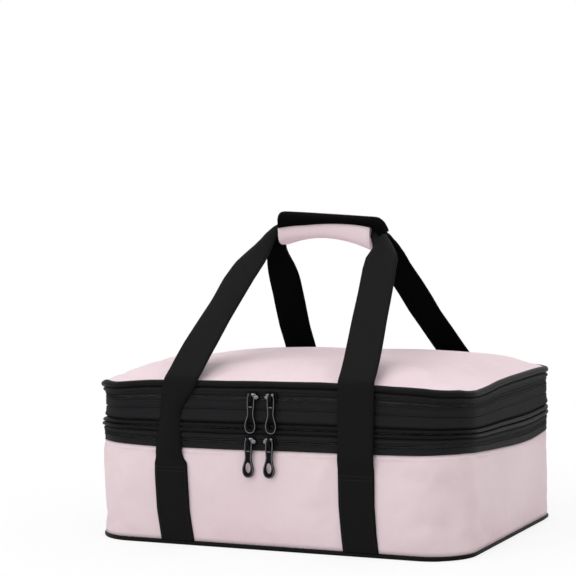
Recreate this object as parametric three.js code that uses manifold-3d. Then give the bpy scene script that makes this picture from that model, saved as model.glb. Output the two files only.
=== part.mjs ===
// Expandable two-deck casserole carrier: a soft, padded, zipped box with two webbing handles.
// Millimetres, +Z up, front towards -Y. The origin is under the middle of the base, on the floor.
import * as THREE from "three";
import { mergeVertices } from "three/addons/utils/BufferGeometryUtils.js";
import Module from "manifold-3d";

const wasm = await Module();
wasm.setup();

// Overall body
const bodyWidth = 410;
const bodyDepth = 300;
const cornerRadius = 45;
const seam = 0.3; // clearance that touching pieces keep

// Heights of what is stacked from the floor to the lid's edge
const basePipingHeight = 4.5;
const wallHeight = 94.7;
const lowerTapeHeight = 6.7;
const coilHeight = 1.5;
const deckBandHeight = 5;
const foldPipingHeight = 4.2;
const foldGap = 1.5;
const crownBandHeight = 23.4;
const lidBandHeight = 7;
const lidPipingHeight = 6.5;

// How far faces stand out of the body's outline, and how thick things are
const bandProud = 0.6;
const bandThickness = 1.6;
const coilProud = 1;
const coilThickness = 1.8;
const basePipingProud = 1.5;
const pipingProud = 3;
const shellThickness = 1.6;
const foamThickness = 5;
const linerThickness = 1;
const gussetThickness = 0.8;

// Base, divider and lid
const basePanelThickness = 1.5;
const boardThickness = 2.5;
const deckPanelThickness = 6;
const gussetHeight = 31;
const domeHeight = 19.5;
const lidEdgeDrop = 1;

// Webbing handles
const webWidth = 38;
const webThickness = 2;
const strapSpacing = 206; // middle to middle of a handle's two straps
const strapLean = 9.5; // the free straps draw towards each other by this up to the lid's edge
const stitchHeight = 82; // the straps are sewn to the wall up to here
const strapStandOff = 4.6; // middle of the free strap from the wall
const strapLeanHeight = 14; // it takes this height to leave the wall
const kneeHeight = 150; // the free strap runs upright to here
const kneeRadius = 14;

// Grip
const gripLength = 132;
const webEndGap = 4.4; // the grip webs stop this far inside the legs
const gripSetBack = 10; // the joined grips lean a little to the rear
const legSpread = 10; // a handle's legs meet its grip this far from the wrap's middle
const gripHeight = 318.5;
const gripArch = 5;
const wrapLength = 107;
const wrapDepth = 48;
const wrapHeight = 24;
const wrapThickness = 5;
const flapLapThickness = 2.5;
const fastenerThickness = 0.8;
const fastenerLength = 90;

// Zip sliders and their pulls
const sliderLength = 12;
const sliderHeight = 9.5;
const sliderPlate = 1.6;
const sliderCorner = 2.4;
const bridgeWidth = 3.6;
const bridgeReach = 4.3;
const bridgeHeight = 8.4;
const bridgeBar = 1.3;
const pullThickness = 2.2;
const pullLength = 36.5;
const pullWidth = 11;
const pullNeck = 8;
const pullBar = 1.8;
const pullRim = 1.9;
const pullWindow = 7;
const pullHole = 12;
const zipMiddle = -5; // where the sliders meet, left of the middle
const sliderGap = 8.5;
const pullStandOff = 1.5; // the pull turns this far in front of the slider's plate

const cornerSteps = 6;
const pipingSteps = 6;
const domeRings = 7;
const arcSteps = 14;
const kneeSteps = 3;
const legSteps = 10;
const gripSteps = 8;
const pullSteps = 6;
const weldTolerance = 1e-4;

// Shapes given by shares: the lid's crown, the legs' gathered tops and the outline of a pull
const domeShares = { alongX: 4, alongY: 3, edge: 16 };
const legTwistShares = { from: 0.8, gather: 0.5 };
const heldWebShare = 0.93; // the web inside the wrap is gathered a little
const pullShares = { waist: 0.8, shoulder: 2.6, belly: 1.5 };

// Places round the wrap's oval as shares of a full turn: 0 is the rear, a quarter the top
const wrapShares = {
  pad: [-0.04, 0.728],
  flap: [0.739, 0.95],
  rise: [0.917, 0.947],
  lap: [0.939, 1.078],
  fastener: [-0.028, 0.078],
};

// The stack of levels, each the top or the bottom of a piece
const wallBottom = basePipingHeight + seam;
const wallTop = wallBottom + wallHeight;
const lowerTapeBottom = wallTop + seam;
const lowerTapeTop = lowerTapeBottom + lowerTapeHeight;
const lowerCoilBottom = lowerTapeTop + seam;
const deckCoilBottom = lowerCoilBottom + coilHeight + seam;
const deckBandBottom = deckCoilBottom + coilHeight + seam;
const deckPipingBottom = deckBandBottom + deckBandHeight + seam;
const deckPipingTop = deckPipingBottom + foldPipingHeight;
const crownPipingBottom = deckPipingTop + foldGap;
const crownBandBottom = crownPipingBottom + foldPipingHeight + seam;
const crownBandTop = crownBandBottom + crownBandHeight;
const crownCoilBottom = crownBandTop + seam;
const lidCoilBottom = crownCoilBottom + coilHeight + seam;
const lidBandBottom = lidCoilBottom + coilHeight + seam;
const lidPipingBottom = lidBandBottom + lidBandHeight + seam;
const lidEdge = lidPipingBottom + lidPipingHeight;
const lowerZipLine = deckCoilBottom - seam / 2;
const upperZipLine = lidCoilBottom - seam / 2;
const kneeLevel = lidEdge - lidPipingHeight / 4; // the straps start to bend over the lid here

const fabricPink = 0xe3d3d7;
const webBlack = 0x1b1b1c;
const colours = {
  pink: [fabricPink, 0.8, 0],
  black: [webBlack, 0.75, 0],
  piping: [0x151516, 0.55, 0],
  zip: [0x232325, 0.5, 0],
  liner: [0xb9bcc0, 0.35, 0],
  foam: [0xf2f2ee, 0.9, 0],
  board: [0x4a4a4c, 0.7, 0],
  metal: [0x1a1a1c, 0.3, 0.7],
};

const carrier = new THREE.Group();

function add(name, geometry, colour) {
  const [hex, roughness, metalness] = colours[colour];
  const material = new THREE.MeshStandardMaterial({
    color: hex,
    roughness,
    metalness,
  });
  const mesh = new THREE.Mesh(geometry, material);
  mesh.name = name;
  carrier.add(mesh);
  return mesh;
}

// A geometry from a list of [x, y, z] points and a list of triangles.
function geometryOf(points, triangles) {
  const geometry = new THREE.BufferGeometry();
  geometry.setAttribute(
    "position",
    new THREE.Float32BufferAttribute(points.flat(), 3),
  );
  geometry.setIndex(triangles.flat());
  return geometry;
}

function solidOf(geometry) {
  const bare = geometry.clone();
  bare.deleteAttribute("normal");
  bare.deleteAttribute("uv");
  const merged = mergeVertices(bare, weldTolerance);
  return new wasm.Manifold(
    new wasm.Mesh({
      numProp: 3,
      vertProperties: new Float32Array(merged.attributes.position.array),
      triVerts: new Uint32Array(merged.index.array),
    }),
  );
}

function fromSolid(solid) {
  const mesh = solid.getMesh();
  const geometry = new THREE.BufferGeometry();
  geometry.setAttribute(
    "position",
    new THREE.Float32BufferAttribute(mesh.vertProperties, mesh.numProp),
  );
  geometry.setIndex(Array.from(mesh.triVerts));
  return geometry;
}

// The body's rounded outline seen from above, as [x, y, nx, ny] stations, moved inwards by inset.
// It starts at the left end of the rear side and goes round by the left, the front and the right.
function outline(inset) {
  const radius = cornerRadius - inset;
  const cx = bodyWidth / 2 - cornerRadius;
  const cy = bodyDepth / 2 - cornerRadius;
  const corners = [
    [-cx, cy, 90],
    [-cx, -cy, 180],
    [cx, -cy, 270],
    [cx, cy, 360],
  ];
  const stations = [];
  for (const [x, y, from] of corners) {
    for (let step = 0; step <= cornerSteps; step++) {
      const turn = THREE.MathUtils.degToRad(from + (90 * step) / cornerSteps);
      const nx = Math.cos(turn);
      const ny = Math.sin(turn);
      stations.push([x + radius * nx, y + radius * ny, nx, ny]);
    }
  }
  return stations;
}

// Joins rows of points, each a closed loop, into one closed skin with its faces pointing out.
function skinOf(rows, closed) {
  const count = rows[0].length;
  const points = rows.flat();
  const triangles = [];
  const spans = closed ? rows.length : rows.length - 1;
  for (let row = 0; row < spans; row++) {
    const a = row * count;
    const b = ((row + 1) % rows.length) * count;
    for (let i = 0; i < count; i++) {
      const j = (i + 1) % count;
      triangles.push([a + i, a + j, b + j], [a + i, b + j, b + i]);
    }
  }
  if (!closed) {
    const last = (rows.length - 1) * count;
    const flat = rows[0].map((p) => new THREE.Vector2(...flatPoint(p, rows[0])));
    const capFaces = THREE.ShapeUtils.triangulateShape(flat, []);
    const turnsLeft = !THREE.ShapeUtils.isClockWise(flat);
    for (const [i, j, k] of capFaces) {
      const [u, v] = turnsLeft ? [k, j] : [j, k];
      triangles.push([i, u, v], [last + i, last + v, last + u]);
    }
  }
  const made = geometryOf(points, triangles);
  return solidVolume(made) < 0 ? flipped(made) : made;
}

// Signed volume of a closed skin, negative where its faces point inwards.
function solidVolume(geometry) {
  const p = geometry.attributes.position;
  const index = geometry.index.array;
  const [a, b, c] = [0, 1, 2].map(() => new THREE.Vector3());
  let sum = 0;
  for (let i = 0; i < index.length; i += 3) {
    a.fromBufferAttribute(p, index[i]);
    b.fromBufferAttribute(p, index[i + 1]);
    c.fromBufferAttribute(p, index[i + 2]);
    sum += a.dot(b.cross(c)) / 6;
  }
  return sum;
}

function flipped(geometry) {
  const index = Array.from(geometry.index.array);
  for (let i = 0; i < index.length; i += 3)
    [index[i + 1], index[i + 2]] = [index[i + 2], index[i + 1]];
  geometry.setIndex(index);
  return geometry;
}

// A row's point in the row's own plane, for its end cap.
function flatPoint(point, row) {
  const origin = new THREE.Vector3(...row[0]);
  const normal = new THREE.Vector3();
  for (let i = 0; i < row.length; i++) {
    const a = new THREE.Vector3(...row[i]).sub(origin);
    const b = new THREE.Vector3(...row[(i + 1) % row.length]).sub(origin);
    normal.add(a.cross(b));
  }
  normal.normalize();
  const u = new THREE.Vector3(...row[1]).sub(origin).normalize();
  const v = normal.clone().cross(u);
  const at = new THREE.Vector3(...point).sub(origin);
  return [at.dot(u), at.dot(v)];
}

// A profile of [outwards, z] points swept round the outline, or along the stations from first to last.
function sweep(profile, stations, closed) {
  const rows = stations.map(([x, y, nx, ny]) =>
    profile.map(([out, z]) => [x + out * nx, y + out * ny, z]),
  );
  return skinOf(rows, closed);
}

function ring(outer, inner, bottom, top) {
  const profile = [
    [-inner, bottom],
    [outer, bottom],
    [outer, top],
    [-inner, top],
  ];
  return sweep(profile, outline(0), true);
}

// A ring whose outer side is a half round, as a sewn piping has.
function pipingRing(proud, inner, bottom, top) {
  const middle = (bottom + top) / 2;
  const half = (top - bottom) / 2;
  const profile = [[-inner, bottom]];
  for (let step = 0; step <= pipingSteps; step++) {
    const turn = -Math.PI / 2 + (Math.PI * step) / pipingSteps;
    profile.push([proud * Math.cos(turn), middle + half * Math.sin(turn)]);
  }
  profile.push([-inner, top]);
  return sweep(profile, outline(0), true);
}

// The zip's coil runs round three sides, and the rear side between its ends is the hinge.
function coilStrip(bottom) {
  const profile = [
    [coilProud - coilThickness, bottom],
    [coilProud, bottom],
    [coilProud, bottom + coilHeight],
    [coilProud - coilThickness, bottom + coilHeight],
  ];
  return sweep(profile, outline(0), false);
}

function plateShape(inset) {
  const shape = new THREE.Shape();
  outline(inset).forEach(([x, y], i) => {
    if (i) shape.lineTo(x, y);
    else shape.moveTo(x, y);
  });
  shape.closePath();
  return shape;
}

function plate(inset, bottom, thickness) {
  const made = new THREE.ExtrudeGeometry(plateShape(inset), {
    depth: thickness,
    bevelEnabled: false,
  });
  return made.translate(0, 0, bottom);
}

function block(width, depth, height, x, y, z) {
  return new THREE.BoxGeometry(width, depth, height).translate(x, y, z);
}

// The lid's crown: level at the edge, rising to domeHeight in the middle.
function domeRise(x, y, share) {
  const u = Math.min(1, Math.abs(x) / (bodyWidth / 2));
  const v = Math.min(1, Math.abs(y) / (bodyDepth / 2));
  const crown = (1 - u ** domeShares.alongX) * (1 - v ** domeShares.alongY);
  return domeHeight * crown * (1 - share ** domeShares.edge);
}

// One layer of the lid: its top lies at edgeTop at the rim.
function domeLayer(inset, edgeTop, thickness) {
  const rim = outline(inset);
  const count = rim.length;
  const points = [];
  for (const drop of [0, thickness]) {
    for (let k = 0; k < domeRings; k++) {
      const share = 1 - k / domeRings;
      for (const [x, y] of rim) {
        const px = x * share;
        const py = y * share;
        points.push([px, py, edgeTop + domeRise(px, py, share) - drop]);
      }
    }
    points.push([0, 0, edgeTop + domeRise(0, 0, 0) - drop]);
  }
  const layer = domeRings * count + 1;
  const triangles = [];
  for (const [base, flip] of [
    [0, false],
    [layer, true],
  ]) {
    for (let k = 0; k < domeRings; k++) {
      for (let i = 0; i < count; i++) {
        const j = (i + 1) % count;
        const a = base + k * count + i;
        const b = base + k * count + j;
        if (k === domeRings - 1) {
          const top = base + layer - 1;
          triangles.push(flip ? [a, top, b] : [a, b, top]);
          continue;
        }
        const c = base + (k + 1) * count + j;
        const d = base + (k + 1) * count + i;
        triangles.push(flip ? [a, c, b] : [a, b, c]);
        triangles.push(flip ? [a, d, c] : [a, c, d]);
      }
    }
  }
  for (let i = 0; i < count; i++) {
    const j = (i + 1) % count;
    triangles.push([i, layer + i, layer + j], [i, layer + j, j]);
  }
  return geometryOf(points, triangles);
}

// Base: what stands on the floor and the lower compartment's walls
const foamInset = shellThickness + seam;
const linerInset = foamInset + foamThickness + seam;
const boardBottom = basePanelThickness + seam;
const floorFoamBottom = boardBottom + boardThickness + seam;
const linerBottom = floorFoamBottom + foamThickness + seam;

add("base_panel", plate(bandThickness - bandProud + seam, 0, basePanelThickness), "black");
add("base_board", plate(foamInset, boardBottom, boardThickness), "board");
add(
  "base_piping",
  pipingRing(basePipingProud, bandThickness - bandProud, 0, basePipingHeight),
  "piping",
);
add("lower_wall", ring(0, shellThickness, wallBottom, wallTop), "pink");
add(
  "lower_wall_foam",
  ring(-foamInset, foamInset + foamThickness, wallBottom, lowerTapeTop),
  "foam",
);
add("lower_floor_foam", plate(linerInset, floorFoamBottom, foamThickness), "foam");

function lowerLiner() {
  const outer = solidOf(plate(linerInset, linerBottom, lowerTapeTop - linerBottom));
  const roomBottom = linerBottom + linerThickness;
  const room = solidOf(
    plate(linerInset + linerThickness, roomBottom, lowerTapeTop),
  );
  return fromSolid(outer.subtract(room));
}
add("lower_liner", lowerLiner(), "liner");

const bandInner = bandThickness - bandProud;
add(
  "lower_zip_tape",
  ring(bandProud, bandInner, lowerTapeBottom, lowerTapeTop),
  "zip",
);
add("lower_zip_coil", coilStrip(lowerCoilBottom), "zip");

// The rear sides of the two zips are fabric hinges
const hingeLength = bodyWidth - 2 * cornerRadius - 2 * seam;
function hingeStrip(bottom) {
  const height = 2 * coilHeight + seam;
  const y = bodyDepth / 2 + coilProud - coilThickness / 2;
  return block(hingeLength, coilThickness, height, 0, y, bottom + height / 2);
}
add("lower_hinge", hingeStrip(lowerCoilBottom), "black");

// Deck: the padded divider that closes the lower compartment, and the fold's lower edge
const deckInset = bandInner + seam;
const deckPanelTop = deckBandBottom + deckPanelThickness;
add("deck_zip_coil", coilStrip(deckCoilBottom), "zip");
add(
  "deck_liner",
  plate(linerInset, deckBandBottom - seam - linerThickness, linerThickness),
  "liner",
);
add("deck_panel", plate(deckInset, deckBandBottom, deckPanelThickness), "foam");
add(
  "deck_band",
  ring(bandProud, bandInner, deckBandBottom, deckBandBottom + deckBandHeight),
  "black",
);
add(
  "deck_piping",
  pipingRing(pipingProud, bandInner, deckPipingBottom, deckPipingTop),
  "piping",
);
const gussetBottom = deckPanelTop + seam;
add(
  "gusset",
  ring(-deckInset, deckInset + gussetThickness, gussetBottom, gussetBottom + gussetHeight),
  "pink",
);

// Crown: the upper compartment's walls, which rise when the fold is let out
const crownFoamInset = deckInset + gussetThickness + seam;
const crownLinerInset = crownFoamInset + foamThickness + seam;
const crownInnerTop = crownCoilBottom + coilHeight - seam;
add(
  "crown_piping",
  pipingRing(
    pipingProud,
    bandInner,
    crownPipingBottom,
    crownPipingBottom + foldPipingHeight,
  ),
  "piping",
);
add(
  "crown_band",
  ring(bandProud, bandInner, crownBandBottom, crownBandTop),
  "black",
);
add(
  "crown_foam",
  ring(
    -crownFoamInset,
    crownFoamInset + foamThickness,
    crownPipingBottom,
    crownInnerTop,
  ),
  "foam",
);
add(
  "crown_liner",
  ring(
    -crownLinerInset,
    crownLinerInset + linerThickness,
    crownPipingBottom,
    crownInnerTop,
  ),
  "liner",
);
add("crown_zip_coil", coilStrip(crownCoilBottom), "zip");
add("upper_hinge", hingeStrip(crownCoilBottom), "black");

// Lid
const lidInset = bandInner + seam;
const lidShellTop = lidEdge - lidEdgeDrop;
const lidFoamTop = lidShellTop - shellThickness - seam;
const lidLinerTop = lidFoamTop - foamThickness - seam;
add("lid_zip_coil", coilStrip(lidCoilBottom), "zip");
add(
  "lid_band",
  ring(bandProud, bandInner, lidBandBottom, lidBandBottom + lidBandHeight),
  "black",
);
add(
  "lid_piping",
  pipingRing(pipingProud, bandInner, lidPipingBottom, lidEdge),
  "piping",
);
add("lid_shell", domeLayer(lidInset, lidShellTop, shellThickness), "pink");
add("lid_foam", domeLayer(lidInset, lidFoamTop, foamThickness), "foam");
add("lid_liner", domeLayer(lidInset, lidLinerTop, linerThickness), "liner");

// A webbing piece through stations of centre, width direction and thickness direction,
// gathered to a share of its width where a station has one.
function webbing(stations) {
  const rows = stations.map(({ at, across, through, share = 1 }) => {
    const w = across.clone().normalize().multiplyScalar((share * webWidth) / 2);
    const t = through.clone().normalize().multiplyScalar(webThickness / 2);
    const corner = (i, j) =>
      at.clone().addScaledVector(w, i).addScaledVector(t, j).toArray();
    return [corner(-1, -1), corner(1, -1), corner(1, 1), corner(-1, 1)];
  });
  return skinOf(rows, false);
}

const along = new THREE.Vector3(1, 0, 0);
const strapFace = bodyDepth / 2 + strapStandOff;
const wallFace = bodyDepth / 2 + seam + webThickness / 2;

// A point of a strap: side is -1 left or 1 right, end is -1 front or 1 rear, and out is measured
// from the middle of the body.
function strapPoint(side, end, out, z) {
  const up = THREE.MathUtils.inverseLerp(stitchHeight, lidEdge, z);
  const lean = strapLean * THREE.MathUtils.clamp(up, 0, 1);
  return new THREE.Vector3(side * (strapSpacing / 2 - lean), end * out, z);
}

function upright(side, end, levels) {
  return levels.map(([out, z]) => ({
    at: strapPoint(side, end, out, z),
    across: along,
    through: new THREE.Vector3(0, end, 0),
  }));
}

// The inclined leg: round the lid's edge, then straight up to the grip, turning flat at its top.
function legStations(side, end, gripLevel) {
  const stations = upright(side, end, [
    [strapFace, kneeHeight + seam],
    [strapFace, kneeLevel],
  ]);
  const top = new THREE.Vector3(
    (side * gripLength) / 2,
    gripSetBack + end * legSpread,
    gripLevel,
  );
  const centreOut = strapFace - kneeRadius;
  const lean = Math.atan2(strapFace - end * gripSetBack, gripLevel - kneeLevel);
  for (let step = 1; step <= kneeSteps; step++) {
    const turn = (lean * step) / kneeSteps;
    const out = centreOut + kneeRadius * Math.cos(turn);
    const z = kneeLevel + kneeRadius * Math.sin(turn);
    stations.push({
      at: strapPoint(side, end, out, z),
      across: along,
      through: new THREE.Vector3(0, end * Math.cos(turn), Math.sin(turn)),
    });
  }
  const foot = stations[stations.length - 1].at;
  const run = top.clone().sub(foot);
  for (let step = 1; step <= legSteps; step++) {
    const share = step / legSteps;
    const twist = THREE.MathUtils.smoothstep(share, legTwistShares.from, 1);
    const flat = new THREE.Vector3(0, -end * side, 0);
    const across = along.clone().lerp(flat, twist);
    across.addScaledVector(run, -across.dot(run) / run.lengthSq());
    stations.push({
      at: foot.clone().addScaledVector(run, share),
      across,
      through: across.clone().cross(run).multiplyScalar(-end),
      share: 1 - twist * legTwistShares.gather,
    });
  }
  return stations;
}

// The grip's height along its length: a shallow arch.
function archDrop(x) {
  return gripArch * (x / (wrapLength / 2)) ** 2;
}

// The straight webbing across the grip, gathered to a share of its width.
function gripWeb(level, share) {
  const half = gripLength / 2 - webEndGap;
  const stations = [];
  for (let step = 0; step <= gripSteps; step++) {
    const x = -half + (2 * half * step) / gripSteps;
    stations.push({
      at: new THREE.Vector3(x, gripSetBack, level - archDrop(x)),
      across: new THREE.Vector3(0, 1, 0),
      through: new THREE.Vector3(0, 0, 1),
      share,
    });
  }
  return webbing(stations);
}

const sides = [
  ["left", -1],
  ["right", 1],
];
const rearWebLevel = gripHeight + wrapHeight / 2 + seam + webThickness / 2;
const ends = [
  ["front", -1, gripHeight],
  ["rear", 1, rearWebLevel],
];
// The legs end a web's thickness below the ends of the grip web that they run into
const legTopBelowWeb = archDrop(gripLength / 2) + webThickness;
const runMiddle = (stitchHeight + kneeHeight) / 2;
for (const [endName, end, webLevel] of ends) {
  for (const [sideName, side] of sides) {
    const name = endName + "_" + sideName;
    const sewn = [
      [wallFace, wallBottom],
      [wallFace, stitchHeight],
    ];
    const run = [
      [wallFace, stitchHeight + seam],
      [strapFace, stitchHeight + strapLeanHeight],
      [strapFace, runMiddle],
    ];
    const riser = [
      [strapFace, runMiddle + seam],
      [strapFace, kneeHeight],
    ];
    const leg = legStations(side, end, webLevel - legTopBelowWeb);
    add(name + "_strap_sewn", webbing(upright(side, end, sewn)), "black");
    add(name + "_strap_run", webbing(upright(side, end, run)), "black");
    add(name + "_strap_riser", webbing(upright(side, end, riser)), "black");
    add(name + "_strap_leg", webbing(leg), "black");
  }
}
add("front_grip_web", gripWeb(gripHeight, heldWebShare), "black");
add("rear_grip_web", gripWeb(rearWebLevel, 1), "black");

// A stretch of the wrap's oval wall between two places of its turn.
function wrapBand([from, to], inner, outer, length) {
  const loop = [];
  const point = (turn, out) => [
    gripSetBack + (wrapDepth / 2 + out) * Math.cos(turn),
    gripHeight + (wrapHeight / 2 + out) * Math.sin(turn),
  ];
  const turnAt = (step) => 2 * Math.PI * (from + ((to - from) * step) / arcSteps);
  for (let step = 0; step <= arcSteps; step++) loop.push(point(turnAt(step), outer));
  for (let step = arcSteps; step >= 0; step--) loop.push(point(turnAt(step), inner));
  const rows = [];
  for (let step = 0; step <= gripSteps; step++) {
    const x = -length / 2 + (length * step) / gripSteps;
    rows.push(loop.map(([y, z]) => [x, y, z - archDrop(x)]));
  }
  return skinOf(rows, false);
}

// The wrap is sewn under the rear handle's webbing and closes round the front handle's.
const loopTop = seam + fastenerThickness;
const hookTop = loopTop + seam + fastenerThickness;
const lapInner = hookTop + seam;
const lapOuter = lapInner + flapLapThickness;
add("grip_wrap", wrapBand(wrapShares.pad, -wrapThickness, 0, wrapLength), "pink");
add(
  "grip_loop_tape",
  wrapBand(wrapShares.fastener, seam, loopTop, fastenerLength),
  "black",
);
add(
  "grip_hook_tape",
  wrapBand(wrapShares.fastener, loopTop + seam, hookTop, fastenerLength),
  "black",
);

function gripFlap() {
  const under = wrapBand(wrapShares.flap, -wrapThickness, 0, wrapLength);
  const rise = wrapBand(wrapShares.rise, -seam, lapOuter, wrapLength);
  const lap = wrapBand(wrapShares.lap, lapInner, lapOuter, wrapLength);
  return fromSolid(solidOf(under).add(solidOf(rise)).add(solidOf(lap)));
}
add("grip_flap", gripFlap(), "pink");

// A slider rides over the closed coil: a plate with a bridge that holds the pull
const plateBack = coilProud + seam;
function slider(x, z) {
  const shape = new THREE.Shape();
  const w = sliderLength / 2;
  const h = sliderHeight / 2;
  const c = sliderCorner;
  shape.moveTo(-w + c, -h);
  shape.lineTo(w - c, -h);
  shape.lineTo(w, -h + c);
  shape.lineTo(w, h - c);
  shape.lineTo(w - c, h);
  shape.lineTo(-w + c, h);
  shape.lineTo(-w, h - c);
  shape.lineTo(-w, -h + c);
  shape.closePath();
  const body = new THREE.ExtrudeGeometry(shape, {
    depth: sliderPlate,
    bevelEnabled: false,
  });
  body.rotateX(Math.PI / 2).translate(0, -plateBack, 0);
  const arch = new THREE.Shape();
  const high = bridgeHeight / 2;
  const front = plateBack + sliderPlate;
  arch.moveTo(front - sliderPlate / 2, -high);
  arch.lineTo(front + bridgeReach - bridgeBar, -high);
  arch.lineTo(front + bridgeReach, -high + bridgeBar);
  arch.lineTo(front + bridgeReach, high - bridgeBar);
  arch.lineTo(front + bridgeReach - bridgeBar, high);
  arch.lineTo(front - sliderPlate / 2, high);
  arch.closePath();
  const eye = new THREE.Path();
  const eyeHigh = high - bridgeBar;
  eye.moveTo(front, -eyeHigh);
  eye.lineTo(front, eyeHigh);
  eye.lineTo(front + bridgeReach - bridgeBar, eyeHigh);
  eye.lineTo(front + bridgeReach - bridgeBar, -eyeHigh);
  eye.closePath();
  arch.holes.push(eye);
  const bridge = new THREE.ExtrudeGeometry(arch, {
    depth: bridgeWidth,
    bevelEnabled: false,
  });
  // The arch was drawn outwards along x and up along y: turn it to face the front
  bridge.translate(0, 0, -bridgeWidth / 2).rotateX(Math.PI / 2);
  bridge.rotateZ(-Math.PI / 2);
  const made = fromSolid(solidOf(body).add(solidOf(bridge)));
  return made.translate(x, -bodyDepth / 2, z);
}

// The pull hangs from the bridge: a bar and a window at its top, a teardrop with a hole at its end
function pull(x, z) {
  const shape = new THREE.Shape();
  const neck = pullNeck / 2;
  const end = pullWidth / 2;
  const top = pullBar / 2;
  const bottom = top - pullLength;
  const waist = neck * pullShares.waist;
  const shoulder = bottom + pullShares.shoulder * end;
  const belly = bottom + pullShares.belly * end;
  const frame = top - pullWindow - 2 * pullBar;
  shape.moveTo(-neck, top);
  shape.lineTo(-neck, frame);
  shape.quadraticCurveTo(-waist, shoulder, -end, belly);
  shape.quadraticCurveTo(-end, bottom, 0, bottom);
  shape.quadraticCurveTo(end, bottom, end, belly);
  shape.quadraticCurveTo(waist, shoulder, neck, frame);
  shape.lineTo(neck, top);
  shape.closePath();
  const window = new THREE.Path();
  const side = neck - pullRim / 2 - seam / 2;
  window.moveTo(-side, top - pullBar);
  window.lineTo(-side, top - pullBar - pullWindow);
  window.lineTo(side, top - pullBar - pullWindow);
  window.lineTo(side, top - pullBar);
  window.closePath();
  const hole = new THREE.Path();
  hole.absellipse(
    0,
    bottom + pullRim + pullHole / 2,
    end - pullRim,
    pullHole / 2,
    0,
    2 * Math.PI,
    true,
  );
  shape.holes.push(window, hole);
  const made = new THREE.ExtrudeGeometry(shape, {
    depth: pullThickness,
    bevelEnabled: false,
    curveSegments: pullSteps,
  });
  made.translate(0, 0, -pullThickness / 2).rotateX(Math.PI / 2);
  const reach = plateBack + sliderPlate + pullStandOff;
  return made.translate(x, -bodyDepth / 2 - reach, z);
}

const zips = [
  ["lower", lowerZipLine],
  ["upper", upperZipLine],
];
for (const [zipName, level] of zips) {
  for (const [sideName, side] of sides) {
    const x = zipMiddle + (side * (sliderLength + sliderGap)) / 2;
    add(zipName + "_" + sideName + "_slider", slider(x, level), "metal");
    add(zipName + "_" + sideName + "_pull", pull(x, level), "metal");
  }
}

export default carrier;
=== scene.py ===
"""Dresses the casserole carrier: pink coated fabric, black bindings, zips, webbing handles and a padded grip.

Sizes are in millimetres until a mesh is made, and the frame is the CAD model's: +Z up, the front at -Y.
"""

import math

import bmesh
import bpy
import numpy as np
from mathutils import Matrix, Vector


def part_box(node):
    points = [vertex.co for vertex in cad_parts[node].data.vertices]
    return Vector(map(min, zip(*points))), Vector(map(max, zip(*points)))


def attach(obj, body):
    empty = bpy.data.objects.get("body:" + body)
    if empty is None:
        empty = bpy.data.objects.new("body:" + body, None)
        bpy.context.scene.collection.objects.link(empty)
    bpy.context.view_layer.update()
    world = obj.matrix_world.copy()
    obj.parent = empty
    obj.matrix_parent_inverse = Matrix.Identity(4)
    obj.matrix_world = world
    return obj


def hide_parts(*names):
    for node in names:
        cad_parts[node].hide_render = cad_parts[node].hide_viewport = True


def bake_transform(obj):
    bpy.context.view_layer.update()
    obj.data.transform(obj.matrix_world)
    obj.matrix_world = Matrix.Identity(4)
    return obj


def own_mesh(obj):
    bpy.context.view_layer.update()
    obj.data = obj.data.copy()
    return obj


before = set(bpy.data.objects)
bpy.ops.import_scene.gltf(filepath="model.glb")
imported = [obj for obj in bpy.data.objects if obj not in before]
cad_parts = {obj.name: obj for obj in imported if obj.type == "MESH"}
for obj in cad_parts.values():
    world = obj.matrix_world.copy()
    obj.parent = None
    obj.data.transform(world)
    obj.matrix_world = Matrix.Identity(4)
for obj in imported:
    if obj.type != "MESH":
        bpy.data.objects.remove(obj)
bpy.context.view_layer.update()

MM = 0.001
BODY_WIDTH = 410
BODY_DEPTH = 300
CORNER_RADIUS = 45
HALF_WIDTH = BODY_WIDTH / 2
HALF_DEPTH = BODY_DEPTH / 2
STRAIGHT_WIDTH = HALF_WIDTH - CORNER_RADIUS  # from the middle to where the corner begins
STRAIGHT_DEPTH = HALF_DEPTH - CORNER_RADIUS


def levels(cad_piece):
    """The lowest and highest level of a CAD piece, in millimetres."""
    low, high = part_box(cad_piece)
    return low.z / MM, high.z / MM


def smoothstep(value, start, end):
    t = np.clip((np.asarray(value, float) - start) / (end - start), 0, 1)
    return t * t * (3 - 2 * t)


def read(table, value):
    """Reads a table of pairs at a value."""
    return np.interp(value, *np.transpose(table))


# Meshes


def linked(name, data):
    """Sets data into the scene as an object at the origin."""
    made = bpy.data.objects.new(name, data)
    bpy.context.scene.collection.objects.link(made)
    return made


def mesh_object(name, points, faces, uvs=None, material=None, smooth=True):
    """A mesh object from points in millimetres; uvs has one pair per face corner, in metres."""
    mesh = bpy.data.meshes.new(name)
    mesh.from_pydata((np.asarray(points, float) * MM).tolist(), [], faces)
    if uvs is not None:
        layer = mesh.uv_layers.new(name="surface")
        layer.data.foreach_set("uv", np.asarray(uvs, np.float32).ravel())
    mesh.polygons.foreach_set("use_smooth", [smooth] * len(mesh.polygons))
    mesh.validate()
    mesh.update()
    if material:
        mesh.materials.append(material)
    return linked(name, mesh)


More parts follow.
